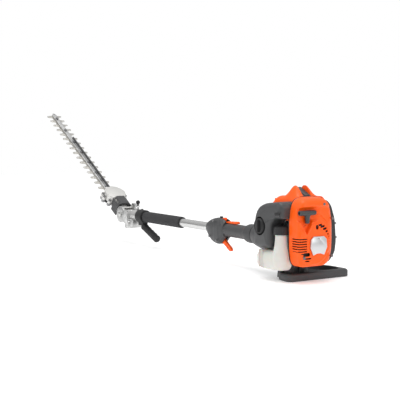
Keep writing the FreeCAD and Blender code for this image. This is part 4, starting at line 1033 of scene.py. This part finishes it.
def makeShroud():
    # moulded cover between the pivot and the gear case, with soft corners
    shell = frame["nodes"]["head_shroud"].data.copy()
    return fit(blended("headShroud", [shell], 1.2, 12), "head_shroud", darkPlastic, angle=60)


# sizes of the dark strip that paints the shade on the far side of the blade bar
paintedShadeRibSize = {"side": (4.4, 8.6), "strip": [(-519, -5.2), (-157, -5.2), (-157, 2.9), (-514, 2.9)]}


def makePaintedShadeRib():
    # rib along the far side of the blade bar, in dark plastic: painted shade for the shaded side and recess
    # of the bar
    tilt = Matrix.Rotation(headTilt, 3, "Y")
    points, faces = prism(paintedShadeRibSize["strip"], "XZ", *paintedShadeRibSize["side"])
    rib = addObject("barPaintedShadeRib", joined("barPaintedShadeRib", [([tilt @ Vector(p) + headPivot for p in points], faces)]))
    softBevel(rib, 0.8, 2)
    # dark plastic here is painted shade, not the colour of the bar
    return fit(rib, "support_bar", darkPlastic, replaced=None)


guardSize = {"outline": [(60, 202), (73, 200.6), (86, 186), (98, 152), (101, 120), (103, 94), (99, 66),
                         (80, 42), (63, 42), (60.5, 64), (60.5, 180)],
             "round": 7, "front": -42, "rear": 49.6, "edge": 6, "rows": 9, "pitch": 16, "lowRow": 60,
             "studs": ((140, 103), (104, 105))}


def makeGuard():
    # perforated shell over the muffler, with two studs on its face
    outline = rounded(guardSize["outline"], guardSize["round"])
    guard = addObject("mufflerGuard", crowned("mufflerGuard", outline, "YZ", guardSize["front"],
                                              guardSize["rear"], guardSize["edge"], 1, 130, centre=(78, 118)))
    holes = []
    for row in range(guardSize["rows"]):
        z = guardSize["lowRow"] + guardSize["pitch"] * row
        for x in range(-30, 40, 12):
            holes.append(prism(rounded([(x, z - 5), (x + 5, z - 5), (x + 5, z + 5), (x, z + 5)], 2.4, 3),
                               "XZ", 82, 120))
        holes.append(prism(rounded([(66, z - 3), (76, z - 3), (76, z + 3), (66, z + 3)], 2.6, 3), "YZ", 44,
                           60))
    boolean(guard, joined("holes", holes), tangled=True)
    fit(guard, "muffler_guard", blackSteel, angle=40)
    studs = []
    for z, out in guardSize["studs"]:
        mesh = lathe("stud", [(88, 3), (out - 1, 3), (out - 0.4, 2.6), (out, 2)], at=(44, 0, z), axis="y",
                     count=20)
        studs.append(([v.co / mm for v in mesh.vertices], [tuple(f.vertices) for f in mesh.polygons]))
    return fit(addObject("guardStuds", joined("guardStuds", studs)), "muffler_guard", zincBolt, replaced=None)


makeShroud()
makePaintedShadeRib()
makeGuard()

# the engine parts behind the covers keep their shapes too
otherEdges = {"handle_ring": (blackRubber, 0.8), "muffler": (brightSteel, 0.8),
              "cap_screws": (zincBolt, 0.3), "face_screws": (zincBolt, 0.3),
              "choke_lever": (blackRubber, 0.5),
              "carburettor": (castAluminium, 0.5), "crankcase": (castAluminium, 0.7),
              "cylinder": (castAluminium, 0.3),
              "flywheel": (castAluminium, 0.4), "clutch": (brightSteel, 0.4),
              "clutch_drum": (brightSteel, 0.4)}
for node, (finish, width) in otherEdges.items():
    edged(node, width, finish)

# every solid that still shows takes its finish from its slot
for node, thing in frame["nodes"].items():
    thing.data.materials.clear()
    thing.data.materials.append(bySlot[slotOf[node]])


# floor, light and camera

print("studio")
floorSize = {"reach": 6000, "top": -0.4, "glow": 0.24}
reach, top = floorSize["reach"], floorSize["top"]
floorMesh = meshFrom("floor", [(-reach, -reach, top), (reach, -reach, top), (reach, reach, top),
                               (-reach, reach, top)],
                     [(0, 1, 2, 3)])
floor = addObject("floor", floorMesh)
floorPaint = makeFinish("floorPaint", (0.93, 0.93, 0.93), 0.7, grain=60.0, depth=0.00001, amount=0.01,
                        Emission_Color=(1, 1, 1, 1), Emission_Strength=floorSize["glow"])
floor.data.materials.append(floorPaint)

world = bpy.data.worlds.new("studio")
bpy.context.scene.world = world
world.use_nodes = True
sky = world.node_tree
backdrop = sky.nodes["Background"]
backdrop.inputs["Color"].default_value = (1, 1, 1, 1)
where = sky.nodes.new("ShaderNodeTexCoord")
parts = sky.nodes.new("ShaderNodeSeparateXYZ")
sky.links.new(where.outputs["Generated"], parts.inputs[0])
glow = remap(sky, parts.outputs["Z"], 0.0, 0.9, 0.30, 1.05)  # brighter overhead than at eye level
path = sky.nodes.new("ShaderNodeLightPath")
sky.links.new(math2(sky, "MAXIMUM", glow, path.outputs["Is Camera Ray"]), backdrop.inputs["Strength"])
bpy.context.scene.view_settings.view_transform = "Standard"

# each light's place, aim, size in metres and power
lights = {"overhead": ((-0.1, -0.2, 2.4), (-0.4, 0, 0.1), 1.3, 22),
          "left": ((-0.9, -2.6, 1.3), (-0.4, 0, 0.1), 0.9, 14),
          "rear": ((2.5, 0.9, 1.3), (0, 0, 0.1), 0.9, 13)}
for name, (at, target, size, watts) in lights.items():
    lamp = bpy.data.lights.new(name, "AREA")
    lamp.size, lamp.energy = size, watts
    thing = bpy.data.objects.new(name, lamp)
    thing.location = at
    thing.rotation_euler = (Vector(target) - Vector(at)).to_track_quat("-Z", "Y").to_euler()
    bpy.context.scene.collection.objects.link(thing)

cameraSetting = {"lens": 81.9, "sensor": 36, "place": (1.8214, -1.4414, 0.3697), "down": 4.18,
                 "round": 57.544}
view = bpy.data.cameras.new("camera")
view.lens, view.sensor_width = cameraSetting["lens"], cameraSetting["sensor"]
camera = bpy.data.objects.new("camera", view)
camera.location = cameraSetting["place"]
camera.rotation_euler = (math.radians(90 - cameraSetting["down"]), 0, math.radians(cameraSetting["round"]))
bpy.context.scene.collection.objects.link(camera)
bpy.context.scene.camera = camera

print("done")
